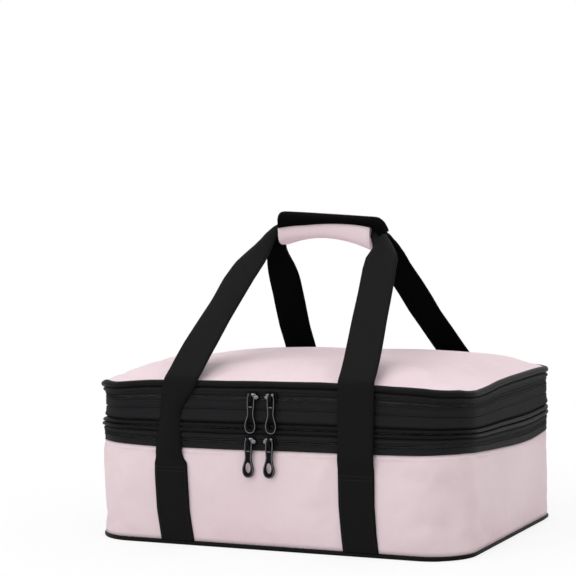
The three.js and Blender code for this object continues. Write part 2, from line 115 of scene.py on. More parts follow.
def grid_object(name, points, along, across, material, ring=False, sheet=False):
    """Skins a grid of points, shaped (rows, columns, 3): a ring of rows, or a strip with two capped ends.

    Each row closes on itself, except on a sheet. along and across are the lengths used as the UV map."""
    rows, columns = points.shape[:2]
    capped = not (ring or sheet)
    faces, uvs = [], []
    for i in range(rows if ring else rows - 1):
        k = (i + 1) % rows
        for j in range(columns - 1 if sheet else columns):
            m = (j + 1) % columns
            faces.append((i * columns + j, k * columns + j, k * columns + m, i * columns + m))
            u0, u1 = along[i], along[i + 1]
            v0, v1 = across[j], across[j + 1]
            uvs += [(u0, v0), (u1, v0), (u1, v1), (u0, v1)]
    if capped:
        first = tuple(range(columns))
        last = tuple((rows - 1) * columns + j for j in reversed(range(columns)))
        for face in (first, last):
            faces.append(face)
            uvs += [(along[0], across[j]) for j in range(columns)]
    made = mesh_object(name, points.reshape(-1, 3), faces, np.asarray(uvs) * MM, material)
    if capped:
        sharp_caps(made, columns)
    face_out(made)
    return made


def sharp_caps(piece, corners):
    """Keeps the shading of a strip's two flat ends apart from its sides."""
    mesh = piece.data
    rims = set()
    for face in mesh.polygons:
        if face.loop_total == corners and corners > 4:
            face.use_smooth = False
            rims.update(mesh.loops[k].edge_index for k in face.loop_indices)
    for index in rims:
        mesh.edges[index].use_edge_sharp = True


def coordinates(mesh):
    """A mesh's points, one in each row, in metres."""
    found = np.zeros(len(mesh.vertices) * 3)
    mesh.vertices.foreach_get("co", found)
    return found.reshape(-1, 3)


def face_out(piece):
    """Turns a closed mesh's faces outwards if its signed volume is negative."""
    co = coordinates(piece.data)
    volume = 0.0
    for face in piece.data.polygons:
        corners = face.vertices
        for i in range(1, len(corners) - 1):
            volume += co[corners[0]] @ np.cross(co[corners[i]], co[corners[i + 1]])
    if volume < 0:
        piece.data.flip_normals()


def ring_faces(rings, count, first_centre=None, last_centre=None, turned=False):
    """The faces between closed rings of count points each, and those from an end ring to its centre point."""
    spans = [(j, (j + 1) % count) for j in range(count)]
    faces = []
    for r in range(rings - 1):
        a, b = r * count, (r + 1) * count
        faces += [(a + j, a + k, b + k, b + j) for j, k in spans]
    if first_centre is not None:
        faces += [(first_centre, k, j) for j, k in spans]
    if last_centre is not None:
        last = (rings - 1) * count
        faces += [(last + j, last + k, last_centre) for j, k in spans]
    return [(face[0], *face[:0:-1]) for face in faces] if turned else faces


def map_from_above(piece, points):
    """Gives a flat sheet its UV map, in metres, from its points in millimetres."""
    layer = piece.data.uv_layers.new(name="surface")
    layer.data.foreach_set("uv", np.ravel([points[v][:2] * MM for face in piece.data.polygons for v in face.vertices]))


def loop_lengths(points):
    """The length along a closed line [x, y] at each of its points and, once round, at the first again."""
    closed = np.vstack([points, points[:1]])
    return np.concatenate([[0], np.cumsum(np.hypot(*np.diff(closed, axis=0).T))])


def shade_smooth(piece):
    piece.data.polygons.foreach_set("use_smooth", [True] * len(piece.data.polygons))


def joined(name, pieces):
    """Joins mesh objects into one, with their materials."""
    materials = list(dict.fromkeys(m for piece in pieces for m in piece.data.materials))
    total = bmesh.new()
    for piece in pieces:
        slots = [materials.index(m) for m in piece.data.materials]
        for polygon in piece.data.polygons:
            polygon.material_index = slots[polygon.material_index]
        total.from_mesh(piece.data)
        bpy.data.objects.remove(piece)
    mesh = bpy.data.meshes.new(name)
    for m in materials:
        mesh.materials.append(m)
    total.to_mesh(mesh)
    total.free()
    return linked(name, mesh)


def plain_mesh(piece):
    """A new mesh with a piece's modifiers applied."""
    graph = bpy.context.evaluated_depsgraph_get()
    return bpy.data.meshes.new_from_object(piece.evaluated_get(graph))


def thicken(piece, thickness, offset=-1):
    """Gives a sheet its thickness: behind its faces, or in front of them (1) or on both sides (0)."""
    sheet = piece.modifiers.new("thickness", "SOLIDIFY")
    sheet.thickness = thickness * MM
    sheet.offset = offset


def dress(piece, body, slot, *replaced):
    """Says which CAD body a piece rides on and the CAD pieces that it stands for; slot is not used."""
    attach(piece, body)
    if replaced:
        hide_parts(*replaced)
    return piece


def dress_between(piece, body, next_body, start, end, slot, *replaced):
    """Bakes a piece's place into its mesh and hides the CAD pieces that it stands for; body, next_body, start, end and
    slot are not used.
    """
    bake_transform(piece)
    if replaced:
        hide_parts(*replaced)
    return piece


# The body's outline and its softness

SIDE_STEP = 5
CORNER_STEPS = 14


def outline():
    """Stations [x, y, nx, ny] round the body and the length at each: from the rear left corner by the left, the front
    and the right to the rear right corner's end, which is what the zips run along, then along the rear."""
    corners = [
        (-STRAIGHT_WIDTH, STRAIGHT_DEPTH, 90),
        (-STRAIGHT_WIDTH, -STRAIGHT_DEPTH, 180),
        (STRAIGHT_WIDTH, -STRAIGHT_DEPTH, 270),
        (STRAIGHT_WIDTH, STRAIGHT_DEPTH, 360),
    ]
    found = []
    for index, (x, y, start) in enumerate(corners):
        for k in range(CORNER_STEPS + 1):
            turn = math.radians(start + 90 * k / CORNER_STEPS)
            nx, ny = math.cos(turn), math.sin(turn)
            found.append((x + CORNER_RADIUS * nx, y + CORNER_RADIUS * ny, nx, ny))
        x1, y1, nx, ny = found[-1]
        x2, y2, turn = corners[(index + 1) % 4]
        x2 += CORNER_RADIUS * math.cos(math.radians(turn))
        y2 += CORNER_RADIUS * math.sin(math.radians(turn))
        count = max(1, round(math.hypot(x2 - x1, y2 - y1) / SIDE_STEP))
        for share in (k / count for k in range(1, count)):
            found.append((x1 + (x2 - x1) * share, y1 + (y2 - y1) * share, nx, ny))
    found = np.array(found)
    return found, loop_lengths(found[:, :2])


PATH, PATH_LENGTH = outline()
at_rear_right = (np.abs(PATH[:, 0] - STRAIGHT_WIDTH) < 0.01) & (PATH[:, 1] > HALF_DEPTH - 0.01)
ZIP_END = int(np.nonzero(at_rear_right)[0][0])

WAVES = [(0.011, 0.3, 0.9), (0.023, 1.7, 0.55), (0.041, 4.1, 0.3)]  # each wave's rate, start and height


def ripple(length, phase):
    """A slow irregular wave along the outline, about one millimetre high."""
    return sum(height * np.sin(length * rate * 2 * math.pi / 3 + start + phase) for rate, start, height in WAVES)


# How far the lid's edge and the wall's top lie above their level, by the place round the body: -1 to 1 is the front
# from left to right, 1 to 3 the right side, 3 to 5 the rear and 5 to 7 the left side
LID_LIFT = [
    (-1, 2.5), (-0.85, 1), (-0.63, 1.8), (-0.2, 0.8), (0.1, 1.8), (0.3, 2.9), (0.5, 2.3), (0.68, 2.5), (0.83, 4.3),
    (0.95, 3.6), (1.1, 2), (1.2, -1.6), (1.33, -4.9), (1.44, -5.7), (1.56, -5.3), (1.75, -3.3), (2, -2), (2.4, -1.4),
    (2.7, -0.7), (3, 0), (4, 1), (5, 0), (5.5, -2), (6, -4), (6.5, -4.8), (6.8, -3), (7, 2.5),
]
WALL_LIFT = [
    (-1, 2.2), (-0.85, 1.6), (-0.7, 0.1), (-0.6, -0.6), (-0.2, -0.6), (0.1, 0.3), (0.5, 0.5), (0.7, 1.2), (0.83, 2.1),
    (0.95, 2.6), (1.17, 2.4), (1.3, 1), (1.42, -0.4), (1.54, -1.8), (1.78, -4), (2.02, -6.2), (2.2, -7.3),
    (2.4, -7.5), (2.55, -6.4), (2.7, -4.3), (3, -1.5), (3.5, 0), (4.5, 0), (5.2, -1.5), (5.7, -3.5), (6.2, -3),
    (6.6, -0.5), (7, 2.2),
]
# The wall's soft upright hollows near the front right corner, and the base cord's height, thinner on the right side
CORNER_DENTS = [(0.7, 0), (0.8, 1.6), (0.9, 0.2), (1, 1.2), (1.15, 0), (1.3, 1.1), (1.5, 0.1), (1.8, 0.9), (2.2, 0)]
CORD_DEPTH = [(-1, 1), (0.9, 1), (1.05, 0.75), (1.2, 0.55), (2.6, 0.55), (3, 1), (7, 1)]
# How far the left side draws in, by level, and the places along X between which it sets in
LEFT_DRAW = [(90, 0), (96, 1), (103, 2.6), (108, 2), (121, 2), (127, 4.4), (149, 4.6), (156, 2.6), (160, 1.8), (170, 2)]
LEFT_PLACES = (110, 190)

CORNER_SAG = 8
NEAR_SAG = 5  # more at the front right corner
NEAR_FROM = 60
TOP_WAVE = 0.5
TOP_WAVES_ROUND = 5
TOP_WAVE_SHARES = (0.02, 0.3)
SAG_LEVELS = (96, 168)
WALL_LIFT_LEVELS = (25, 98)
LID_LIFT_LEVELS = (100, 162)
LIFT_SHARES = (0.3, 0.93)  # the lift fades towards the middle
SIDE_DRAW = 0.8
DRAW_LEVELS = (6, 50, 70, 140)
DENT_LEVELS = (6, 40, 75, 98)


def swell(value, start, full, fade, end):
    """Rises from 0 to 1 and falls again."""
    return smoothstep(value, start, full) * (1 - smoothstep(value, fade, end))


def place_round(x, y):
    """The place round the body of a point, from -1 to 7, and its share of the way out from the middle."""
    a, b = x / HALF_WIDTH, y / HALF_DEPTH
    share = np.maximum(np.abs(a), np.abs(b))
    a, b = a / np.maximum(share, 1e-6), b / np.maximum(share, 1e-6)
    front, right, rear = -b >= np.abs(a), a >= np.abs(b), b >= np.abs(a)
    return np.where(front, a, np.where(right, 2 + b, np.where(rear, 4 - a, 6 - b))), share


def soften(points):
    """Moves points of the box as its fabric hangs: the edges wave, the corners sag and the sides draw in a little."""
    p = np.array(points, float)
    flat = p.reshape(-1, 3)
    x, y, z = flat.T
    u = np.clip(np.abs(x) / HALF_WIDTH, 0, 1.1)
    v = np.clip(np.abs(y) / HALF_DEPTH, 0, 1.1)
    corner = (u * v) ** 4
    place, share = place_round(x, y)
    near = smoothstep(x, NEAR_FROM, HALF_WIDTH) * smoothstep(-y, NEAR_FROM, HALF_DEPTH)
    wave = TOP_WAVE * np.sin(TOP_WAVES_ROUND * np.arctan2(y, x) + 0.7) * smoothstep(share, *TOP_WAVE_SHARES)
    sag = smoothstep(z, *SAG_LEVELS) * (CORNER_SAG * corner + NEAR_SAG * near * corner + wave)
    low, high = LID_LIFT_LEVELS
    up = np.clip((z - low) / (high - low), 0, 1)
    rise = read(WALL_LIFT, place) * smoothstep(z, *WALL_LIFT_LEVELS) * (1 - up) + read(LID_LIFT, place) * up
    flat[:, 2] += rise * smoothstep(share, *LIFT_SHARES) - sag
    pull = SIDE_DRAW * swell(z, *DRAW_LEVELS) * np.clip(1 - corner * 2, 0, 1)
    flat[:, 0] -= np.sign(x) * pull * smoothstep(u, 0.8, 1)
    flat[:, 1] -= np.sign(y) * pull * smoothstep(v, 0.8, 1)
    dent = read(CORNER_DENTS, place) * swell(z, *DENT_LEVELS)
    away = np.maximum(np.hypot(x, y), 1)
    flat[:, 0] -= x / away * dent
    flat[:, 1] -= y / away * dent
    flat[:, 0] += read(LEFT_DRAW, z) * smoothstep(-x, *LEFT_PLACES)
    return p


def around(stations, out, z):
    """Softened points beside stations of the outline: out from it and at levels z."""
    x = stations[:, 0:1] + out * stations[:, 2:3]
    y = stations[:, 1:2] + out * stations[:, 3:4]
    return soften(np.stack([x, y, np.broadcast_to(z, x.shape)], axis=-1))


def path_on(out, level, last=None):
    """A line round the body, out from its outline and at a level, for a seam, or to a last station, for a zip."""
    points = around(PATH if last is None else PATH[: last + 1], np.array([out]), level)[:, 0]
    return np.vstack([points, points[:1]]) if last is None else points


def swept_band(name, profile, material, wave=0.0, phase=0.0, last=None):
    """A strip whose closed profile [out, z] is swept round the outline, or as far as its last station."""
    count = len(PATH) if last is None else last + 1
    profile = np.asarray(profile, float)
    waves = wave * ripple(PATH_LENGTH[:count], phase)[:, None] * (profile[:, 0] > -0.5)
    points = around(PATH[:count], profile[:, 0] + waves, profile[:, 1])
    lengths = PATH_LENGTH[: count + 1]
    return grid_object(name, points, lengths, loop_lengths(profile), material, ring=last is None)


def round_profile(low, high, inner, proud, steps=8):
    """A profile with a rounded front between two levels."""
    middle, half = (low + high) / 2, (high - low) / 2
    turns = [-math.pi / 2 + math.pi * k / steps for k in range(steps + 1)]
    return [(-inner, low), *((proud * math.cos(t), middle + half * math.sin(t)) for t in turns), (-inner, high)]


# Materials

MIX_SHARE, MIX_FIRST, MIX_SECOND, MIX_RESULT = 0, 6, 7, 2  # the colour sockets of a mix node


def srgb(text):
    """Linear colour from a hex colour."""
    values = [int(text[i : i + 2], 16) / 255 for i in (0, 2, 4)]
    return tuple(v / 12.92 if v <= 0.04045 else ((v + 0.055) / 1.055) ** 2.4 for v in values)


def shader_of(material):
    return material.node_tree.nodes["Principled BSDF"]


def new_material(name, colour, roughness, metallic=0.0, sheen=0.0, specular=0.5):
    made = bpy.data.materials.new(name)
    made.use_nodes = True
    inputs = shader_of(made).inputs
    inputs["Base Color"].default_value = (*srgb(colour), 1)
    inputs["Roughness"].default_value = roughness
    inputs["Metallic"].default_value = metallic
    inputs["Sheen Weight"].default_value = sheen
    inputs["Specular IOR Level"].default_value = specular
    return made


def node(owner, kind, **values):
    """A shader node of a material or the world, with values for its sockets and its settings."""
    made = owner.node_tree.nodes.new(kind)
    for key, value in values.items():
        if key in made.inputs:
            made.inputs[key].default_value = value
        else:
            setattr(made, key, value)
    return made


def link(owner, a, b):
    owner.node_tree.links.new(a, b)


def math_node(owner, operation, a, b=None):
    made = node(owner, "ShaderNodeMath", operation=operation)
    for socket, value in zip(made.inputs, (a, b)):
        if isinstance(value, (int, float)):
            socket.default_value = value
        elif value is not None:
            link(owner, value, socket)
    return made.outputs[0]


def span_node(owner, value, start, end, low=0.0, high=1.0, **values):
    """Runs from low to high while the value goes from start to end."""
    made = node(owner, "ShaderNodeMapRange", **values)
    for socket, number in (("From Min", start), ("From Max", end), ("To Min", low), ("To Max", high)):
        made.inputs[socket].default_value = number
    link(owner, value, made.inputs["Value"])
    return made.outputs[0]


def own_texture(material, kind, **values):
    """A texture that lies in the piece's own space."""
    place = node(material, "ShaderNodeTexCoord")
    texture = node(material, kind, **values)
    link(material, place.outputs["Object"], texture.inputs[0])
    return texture


def bump_node(material, height, depth, strength=1.0, under=None):
    """Relief of a depth in millimetres from a height, over another relief if there is one."""
    made = node(material, "ShaderNodeBump", Strength=strength, Distance=depth * MM)
    link(material, height, made.inputs["Height"])
    if under:
        link(material, under, made.inputs["Normal"])
    return made.outputs[0]


def roughen(material, kind, scale, depth, strength, output=0, **values):
    """Gives a material the relief of one texture, and gives the texture's value back."""
    value = own_texture(material, kind, Scale=scale, **values).outputs[output]
    link(material, bump_node(material, value, depth, strength), shader_of(material).inputs["Normal"])
    return value


def weave(material, pitch_along, pitch_across, depth, rough_size=0.0, rough_depth=0.0):
    """Threads over and under in both directions on the UV map, as relief, with a slower unevenness under them."""
    place = node(material, "ShaderNodeTexCoord")
    split = node(material, "ShaderNodeSeparateXYZ")
    link(material, place.outputs["UV"], split.inputs[0])
    turns = []
    for axis, pitch in ((0, pitch_along), (1, pitch_across)):
        turn = math_node(material, "MULTIPLY", split.outputs[axis], 2 * math.pi / (pitch * MM))
        turns.append(math_node(material, "SINE", turn))
    threads = math_node(material, "MULTIPLY", *turns)
    under = None
    if rough_depth:
        uneven = own_texture(material, "ShaderNodeTexNoise", Scale=1 / rough_size, Detail=3.0)
        under = bump_node(material, uneven.outputs[0], rough_depth)
    link(material, bump_node(material, threads, depth, under=under), shader_of(material).inputs["Normal"])
    return threads


def mix_colours(material, share, first, second):
    """Colours a material between two colours, the first of which can be a socket, by a share."""
    mix = node(material, "ShaderNodeMix", data_type="RGBA")
    link(material, share, mix.inputs[MIX_SHARE])
    if isinstance(first, str):
        mix.inputs[MIX_FIRST].default_value = (*srgb(first), 1)
    else:
        link(material, first, mix.inputs[MIX_FIRST])
    mix.inputs[MIX_SECOND].default_value = (*srgb(second), 1)
    link(material, mix.outputs[MIX_RESULT], shader_of(material).inputs["Base Color"])
    return mix.outputs[MIX_RESULT]


def shade_by(material, value, low, high, start=-1.0, end=1.0):
    """Colours a material between two colours while a value goes from start to end."""
    return mix_colours(material, span_node(material, value, start, end), low, high)


NOISE, CELLS, RIPPLES = "ShaderNodeTexNoise", "ShaderNodeTexVoronoi", "ShaderNodeTexWave"

pink = new_material("pink_coated_fabric", "e4d0d5", 0.75, sheen=0.04, specular=0.25)
weave(pink, 0.9, 0.9, 0.035, rough_size=0.012, rough_depth=0.5)
blotch = own_texture(pink, NOISE, Scale=9.0, Detail=4.0)
pink_before_shade = shade_by(pink, blotch.outputs[0], "e0ccd1", "e8d5da", 0.3, 0.7)
# The wall is painted a little darker in clouds round its front right corner, as painted shade of its soft hollows:
# the spans are the cloud's values, and then metres along X, Y and Z
CORNER_SHADE_SPANS = [(0.3, 0.6), (0.1, 0.165), (-0.04, -0.12), (0.098, 0.075)]
CORNER_SHADE_SHARE = 0.42
cloud = own_texture(pink, NOISE, Scale=24.0, Detail=3.0).outputs[0]
axes = own_texture(pink, "ShaderNodeSeparateXYZ").outputs
corner_shade = cloud
for value, (start, end) in zip((cloud, *axes), CORNER_SHADE_SPANS):
    corner_shade = math_node(pink, "MULTIPLY", corner_shade, span_node(pink, value, start, end))
# mixes in the darker pink of the painted shade
mix_colours(pink, math_node(pink, "MULTIPLY", corner_shade, CORNER_SHADE_SHARE), pink_before_shade, "b9a5ab")

black = new_material("black_binding_fabric", "1c1c1e", 0.6, specular=0.035)
# The colour follows the weave's relief, lighter on raised threads and darker in the hollows: painted shade
shade_by(black, weave(black, 0.8, 0.8, 0.06, rough_size=0.006, rough_depth=0.15), "171718", "29292b")

piping_black = new_material("black_piping", "141415", 0.4, specular=0.05)
weave(piping_black, 0.7, 0.7, 0.04, rough_size=0.009, rough_depth=0.25)

web = new_material("black_webbing", "111112", 0.7, specular=0.06)
# The colour follows the weave's relief, lighter on raised threads and darker in the hollows: painted shade
shade_by(web, weave(web, 1.1, 1.6, 0.12, rough_size=0.01, rough_depth=0.1), "0b0b0c", "1b1b1c")

# A darker copy of the webbing for the straps' inner sides and the grip's top webbing: painted shade
web_painted_shade = new_material("black_webbing_painted_shade", "050506", 0.9, specular=0.02)
weave(web_painted_shade, 1.1, 1.6, 0.12, rough_size=0.01, rough_depth=0.1)

tape = new_material("black_zip_tape", "18181a", 0.6, specular=0.1)
# The colour follows the weave's relief, lighter on raised threads and darker in the hollows: painted shade
shade_by(tape, weave(tape, 0.9, 0.6, 0.08), "121213", "202022")

coil = new_material("black_zip_coil", "161617", 0.4, specular=0.25)
roughen(coil, NOISE, 900.0, 0.02, 0.3)

thread_black = new_material("black_thread", "1c1c1d", 0.45, specular=0.25)
thread_pink = new_material("pink_thread", "dcc6cc", 0.5, sheen=0.2)
for thread in (thread_black, thread_pink):
    roughen(thread, RIPPLES, 1400.0, 0.05, 0.4, "Fac", Distortion=1.0)

lining = new_material("silver_lining", "c3c6c9", 0.33, metallic=0.55)
creases = roughen(lining, NOISE, 60.0, 1.2, 0.6, Detail=5.0, Roughness=0.6)
# Darker where the crumples sink and lighter on their tops: painted shade in the creases
shade_by(lining, creases, "b4b7bb", "d0d3d5", 0.3, 0.7)

board = new_material("stiff_board", "4a4a4c", 0.7)
roughen(board, NOISE, 400.0, 0.1, 0.3)

foam = new_material("white_foam", "ecece8", 0.9)
roughen(foam, CELLS, 900.0, 0.2, 0.5)

metal = new_material("black_cast_metal", "040405", 0.2, specular=0.08)
roughen(metal, NOISE, 300.0, 0.08, 0.35, Detail=3.0)

gunmetal = new_material("gunmetal_casting", "78787c", 0.16, metallic=1.0)
roughen(gunmetal, NOISE, 300.0, 0.08, 0.4, Detail=3.0)

# A brighter metal than the black plates, for the pulls' rims and the bar in their windows: painted highlight
rim_highlight_metal = new_material("painted_highlight_rim_metal", "66666a", 0.18, metallic=1.0)
roughen(rim_highlight_metal, NOISE, 300.0, 0.06, 0.3, Detail=3.0)

hook_tape = new_material("hook_and_loop_tape", "1c1c1d", 0.9, sheen=0.5)
roughen(hook_tape, CELLS, 1100.0, 0.5, 0.9)

# Stitches and teeth

STITCH = (0.28, 0.28, 1.15)
STITCH_PITCH = 3.0
COIL_PITCH = 1.7
ROW_TREES = {}


def row_tree(material, turned):
    """A Geometry Nodes tree that sets a small grain-shaped body at a pitch along each line of a mesh."""
    name = "row_of_" + material.name + ("_turned" if turned else "")
    tree = bpy.data.node_groups.new(name, "GeometryNodeTree")
    face = tree.interface
    face.new_socket("Lines", in_out="INPUT", socket_type="NodeSocketGeometry")
    pitch = face.new_socket("Pitch", in_out="INPUT", socket_type="NodeSocketFloat")
    size = face.new_socket("Size", in_out="INPUT", socket_type="NodeSocketVector")
    face.new_socket("Result", in_out="OUTPUT", socket_type="NodeSocketGeometry")
    start, end, curve, spaced, grain, placed, real, finish = (
        tree.nodes.new(kind)
        for kind in (
            "NodeGroupInput", "NodeGroupOutput", "GeometryNodeMeshToCurve", "GeometryNodeCurveToPoints",
            "GeometryNodeMeshUVSphere", "GeometryNodeInstanceOnPoints", "GeometryNodeRealizeInstances",
            "GeometryNodeSetMaterial",
        )
    )
    spaced.mode = "LENGTH"
    for socket, value in (("Segments", 6), ("Rings", 4), ("Radius", 1.0)):
        grain.inputs[socket].default_value = value
    finish.inputs["Material"].default_value = material
    links = [
        (start.outputs["Lines"], curve.inputs[0]),
        (curve.outputs[0], spaced.inputs["Curve"]),
        (start.outputs["Pitch"], spaced.inputs["Length"]),
        (spaced.outputs["Points"], placed.inputs["Points"]),
        (grain.outputs["Mesh"], placed.inputs["Instance"]),
        (start.outputs["Size"], placed.inputs["Scale"]),
        (placed.outputs[0], real.inputs[0]),
        (real.outputs[0], finish.inputs["Geometry"]),
        (finish.outputs[0], end.inputs["Result"]),
    ]
    if turned:
        links.append((spaced.outputs["Rotation"], placed.inputs["Rotation"]))
    for a, b in links:
        tree.links.new(a, b)
    return tree, pitch.identifier, size.identifier


def along_lines(name, lines, pitch, size, material, turned=True):
    """Sets a row of stitches or zip teeth, of radii size, along each line of points, all in millimetres."""
    key = (material.name, turned)
    if key not in ROW_TREES:
        ROW_TREES[key] = row_tree(material, turned)
    tree, pitch_id, size_id = ROW_TREES[key]
    points, edges = [], []
    for line in lines:
        first = len(points)
        points += [tuple(np.asarray(p) * MM) for p in line]
        edges += [(first + i, first + i + 1) for i in range(len(line) - 1)]
    mesh = bpy.data.meshes.new(name)
    mesh.from_pydata(points, edges, [])
    made = linked(name, mesh)
    rows = made.modifiers.new("rows", "NODES")
    rows.node_group = tree
    rows[pitch_id] = pitch * MM
    rows[size_id] = tuple(v * MM for v in size)
    mesh = plain_mesh(made)
    made.modifiers.clear()
    made.data = mesh
    shade_smooth(made)
    return made


def sewn(name, lines, thread, body, slot):
    """A seam's stitches along its lines."""
    return dress(along_lines(name, lines, STITCH_PITCH, STITCH, thread), body, slot)


# Cloth

SETTLING_FRAMES = 20
FABRIC = dict(
    quality=6, mass=0.25, tension_stiffness=25, compression_stiffness=25, shear_stiffness=8, bending_stiffness=1.2,
    vertex_group_mass="held", use_pressure=True,
)


def relax(piece, held, pressure, slack, cap):
    """Lets a sheet settle as cloth: held is each point's hold, slack how much larger than its span it is cut.

    No point moves further than the cap, in millimetres."""
    copy = piece.copy()
    copy.data = piece.data.copy()
    copy.modifiers.clear()
    scene = bpy.context.scene
    scene.collection.objects.link(copy)
    group = copy.vertex_groups.new(name="held")
    for index, weight in enumerate(held):
        if weight > 0:
            group.add([index], float(weight), "REPLACE")
    cloth = copy.modifiers.new("cloth", "CLOTH")
    for key, value in dict(FABRIC, shrink_min=-slack, uniform_pressure_force=pressure).items():
        setattr(cloth.settings, key, value)
    cloth.settings.effector_weights.gravity = 0
    cloth.collision_settings.use_collision = False
    cloth.point_cache.frame_start = 1
    cloth.point_cache.frame_end = SETTLING_FRAMES
    for step in range(1, SETTLING_FRAMES + 1):
        scene.frame_set(step)
    settled = copy.evaluated_get(bpy.context.evaluated_depsgraph_get())
    start = coordinates(piece.data)
    move = coordinates(settled.to_mesh()) - start
    size = np.linalg.norm(move, axis=1, keepdims=True)
    limit = cap * MM
    move *= np.where(size > limit, limit / np.maximum(size, 1e-9), 1)
    piece.data.vertices.foreach_set("co", (start + move).ravel())
    piece.data.update()
    settled.to_mesh_clear()
    bpy.data.objects.remove(copy)
    scene.frame_set(1)


# The lower compartment

STRAP_X = 103
WEB_WIDTH = 38
WEB_THICK = 2.0
STITCH_LEVEL = 82
WALL_ROWS = 22
FABRIC_THICK = 1.4
WALL_LAP = 0.2  # how far the wall's cloth runs into the cords below and above it
HELD_BESIDE = (2, 16)  # a sewn strap holds the cloth as far as this beside it and above it
HELD_ABOVE = (2, 20)
HELD_ROWS = 1.5

wall_low, wall_high = levels("lower_wall")


def under_strap(x, y, z):
    """How far a point of the wall is held by a sewn strap, from 0 to 1."""
    beside = 1 - smoothstep(np.abs(np.abs(x) - STRAP_X) - WEB_WIDTH / 2, *HELD_BESIDE)
    above = 1 - smoothstep(z - STITCH_LEVEL, *HELD_ABOVE)
    return beside * above * (np.abs(y) > HALF_DEPTH - 8)


z = np.linspace(wall_low - WALL_LAP, wall_high + WALL_LAP, WALL_ROWS)
points = around(PATH, np.zeros(WALL_ROWS), z)
wall = grid_object("lower_wall_cover", points, PATH_LENGTH, z, pink, ring=True, sheet=True)
row = np.tile(np.arange(WALL_ROWS), len(PATH))
edge = np.clip(1 - np.minimum(row, WALL_ROWS - 1 - row) / HELD_ROWS, 0, 1)
held = np.clip(edge + under_strap(*points.reshape(-1, 3).T), 0, 1)
relax(wall, held, pressure=1.2, slack=0.006, cap=2.2)
thicken(wall, FABRIC_THICK)
dress(wall, "base", "pink_fabric", "lower_wall", "lower_wall_foam")

low, high = levels("base_piping")
cord = swept_band("base_piping_cord", round_profile(low, high, 1, 1.6), piping_black)
for vertex in cord.data.vertices:
    place, _ = place_round(vertex.co.x / MM, vertex.co.y / MM)
    vertex.co.z = high * MM - (high * MM - vertex.co.z) * read(CORD_DEPTH, place)
dress(cord, "base", "piping", "base_piping")


PLATE_RINGS = 10


def plate(name, inset, low, high, material):
    """A flat sheet that fills the outline, in two layers that meet at its edge."""
    edge = PATH[:, :2] - inset * PATH[:, 2:4]
    layers = [(low, share) for share in np.linspace(0, 1, PLATE_RINGS + 1)[1:]]
    layers += [(high, share) for share in np.linspace(1, 0, PLATE_RINGS + 1)[:-1]]
    rings = [np.column_stack([edge * share, np.full(len(edge), level)]) for level, share in layers]
    points = np.vstack([*rings, [[0, 0, low], [0, 0, high]]])
    faces = ring_faces(len(rings), len(edge), len(points) - 2, len(points) - 1)
    made = mesh_object(name, points, faces, material=material)
    map_from_above(made, points)
    face_out(made)
    return made


# Each flat sheet inside: its name, its CAD piece, body and slot, its finish and how far inside the outline it ends
SHEETS = [
    ("base_cover", "base_panel", "base", "black_fabric", black, 1.3),
    ("base_stiffener", "base_board", "base", "board", board, 2.2),
    ("lower_floor_pad", "lower_floor_foam", "base", "foam", foam, 7.6),
    ("deck_lining", "deck_liner", "deck", "liner", lining, 7.6),
    ("divider_pad", "deck_panel", "deck", "foam", lining, 1.6),
]
for name, stands_for, body, slot, finish, inset in SHEETS:
    made = dress(plate(name, inset, *levels(stands_for), finish), body, slot, stands_for)

TRAY_FOOT = 8  # the radius where its floor turns into its walls
TRAY_INSET = 8.4
TRAY_FLOOR = 1  # how far its floor lies above the CAD lining's underside
TRAY_WAVE = 0.5
TRAY_WAVE_CAP = 0.2  # it waves inwards more than outwards
TRAY_SHARES = (0.15, 0.4, 0.65, 0.85)


def tray(name, low, high):
    """The lining of the lower room: a floor and walls, with a rounded foot and soft waves."""
    count = len(PATH)
    rings = []
    for share in TRAY_SHARES:
        floor = (PATH[:, :2] - (TRAY_INSET + TRAY_FOOT) * PATH[:, 2:4]) * share
        rings.append(np.column_stack([floor, np.full(count, low)]))
    rows = [(low, TRAY_FOOT)]
    for turn in np.linspace(0.3, math.pi / 2, 5):
        rows.append((low + TRAY_FOOT * (1 - math.cos(turn)), TRAY_FOOT * (1 - math.sin(turn))))
    rows += [(z, 0) for z in np.linspace(low + TRAY_FOOT + 4, high, 12)]
    for z, inward in rows:
        wave = TRAY_WAVE * ripple(PATH_LENGTH[:-1], z * 0.05) * swell(z, low, low + 20, high - 8, high)
        out = (np.minimum(wave, TRAY_WAVE_CAP) - TRAY_INSET - inward)[:, None]
        rings.append(np.column_stack([PATH[:, :2] + out * PATH[:, 2:4], np.full(count, z)]))
    points = np.vstack([soften(np.array(rings)).reshape(-1, 3), [[0, 0, low]]])
    return mesh_object(name, points, ring_faces(len(rings), count, len(points) - 1), material=lining)


low, high = levels("lower_liner")
lower_lining = tray("lower_lining", low + TRAY_FLOOR, high)
thicken(lower_lining, 0.6, 1)
dress(lower_lining, "base", "liner", "lower_liner")


def zip_half(name, stands_for, body, start):
    """One half of a zip: a core strip with its teeth, which start at a share of their pitch."""
    low, high = levels(stands_for)
    core = swept_band(name + "_core", round_profile(low + 0.15, high - 0.15, 0.8, 0.35, 4), coil, last=ZIP_END)
    line = path_on(0.35, (low + high) / 2, ZIP_END)
    direction = line[1] - line[0]
    line[0] += direction * start * COIL_PITCH / np.linalg.norm(direction)
    teeth = along_lines(name + "_teeth", [line], COIL_PITCH, (0.55, 0.75, (high - low) / 2), coil, turned=False)
    dress(joined(name, [core, teeth]), body, "zip", stands_for)


zip_half("lower_coil_teeth", "lower_zip_coil", "base", 0)
zip_half("deck_coil_teeth", "deck_zip_coil", "deck", 0.5)
zip_half("crown_coil_teeth", "crown_zip_coil", "crown", 0)
zip_half("lid_coil_teeth", "lid_zip_coil", "lid", 0.5)

# The bands, cords and linings that run round the body

FOLD_SQUEEZE = 0.6  # the two pipings of the fold nearly touch


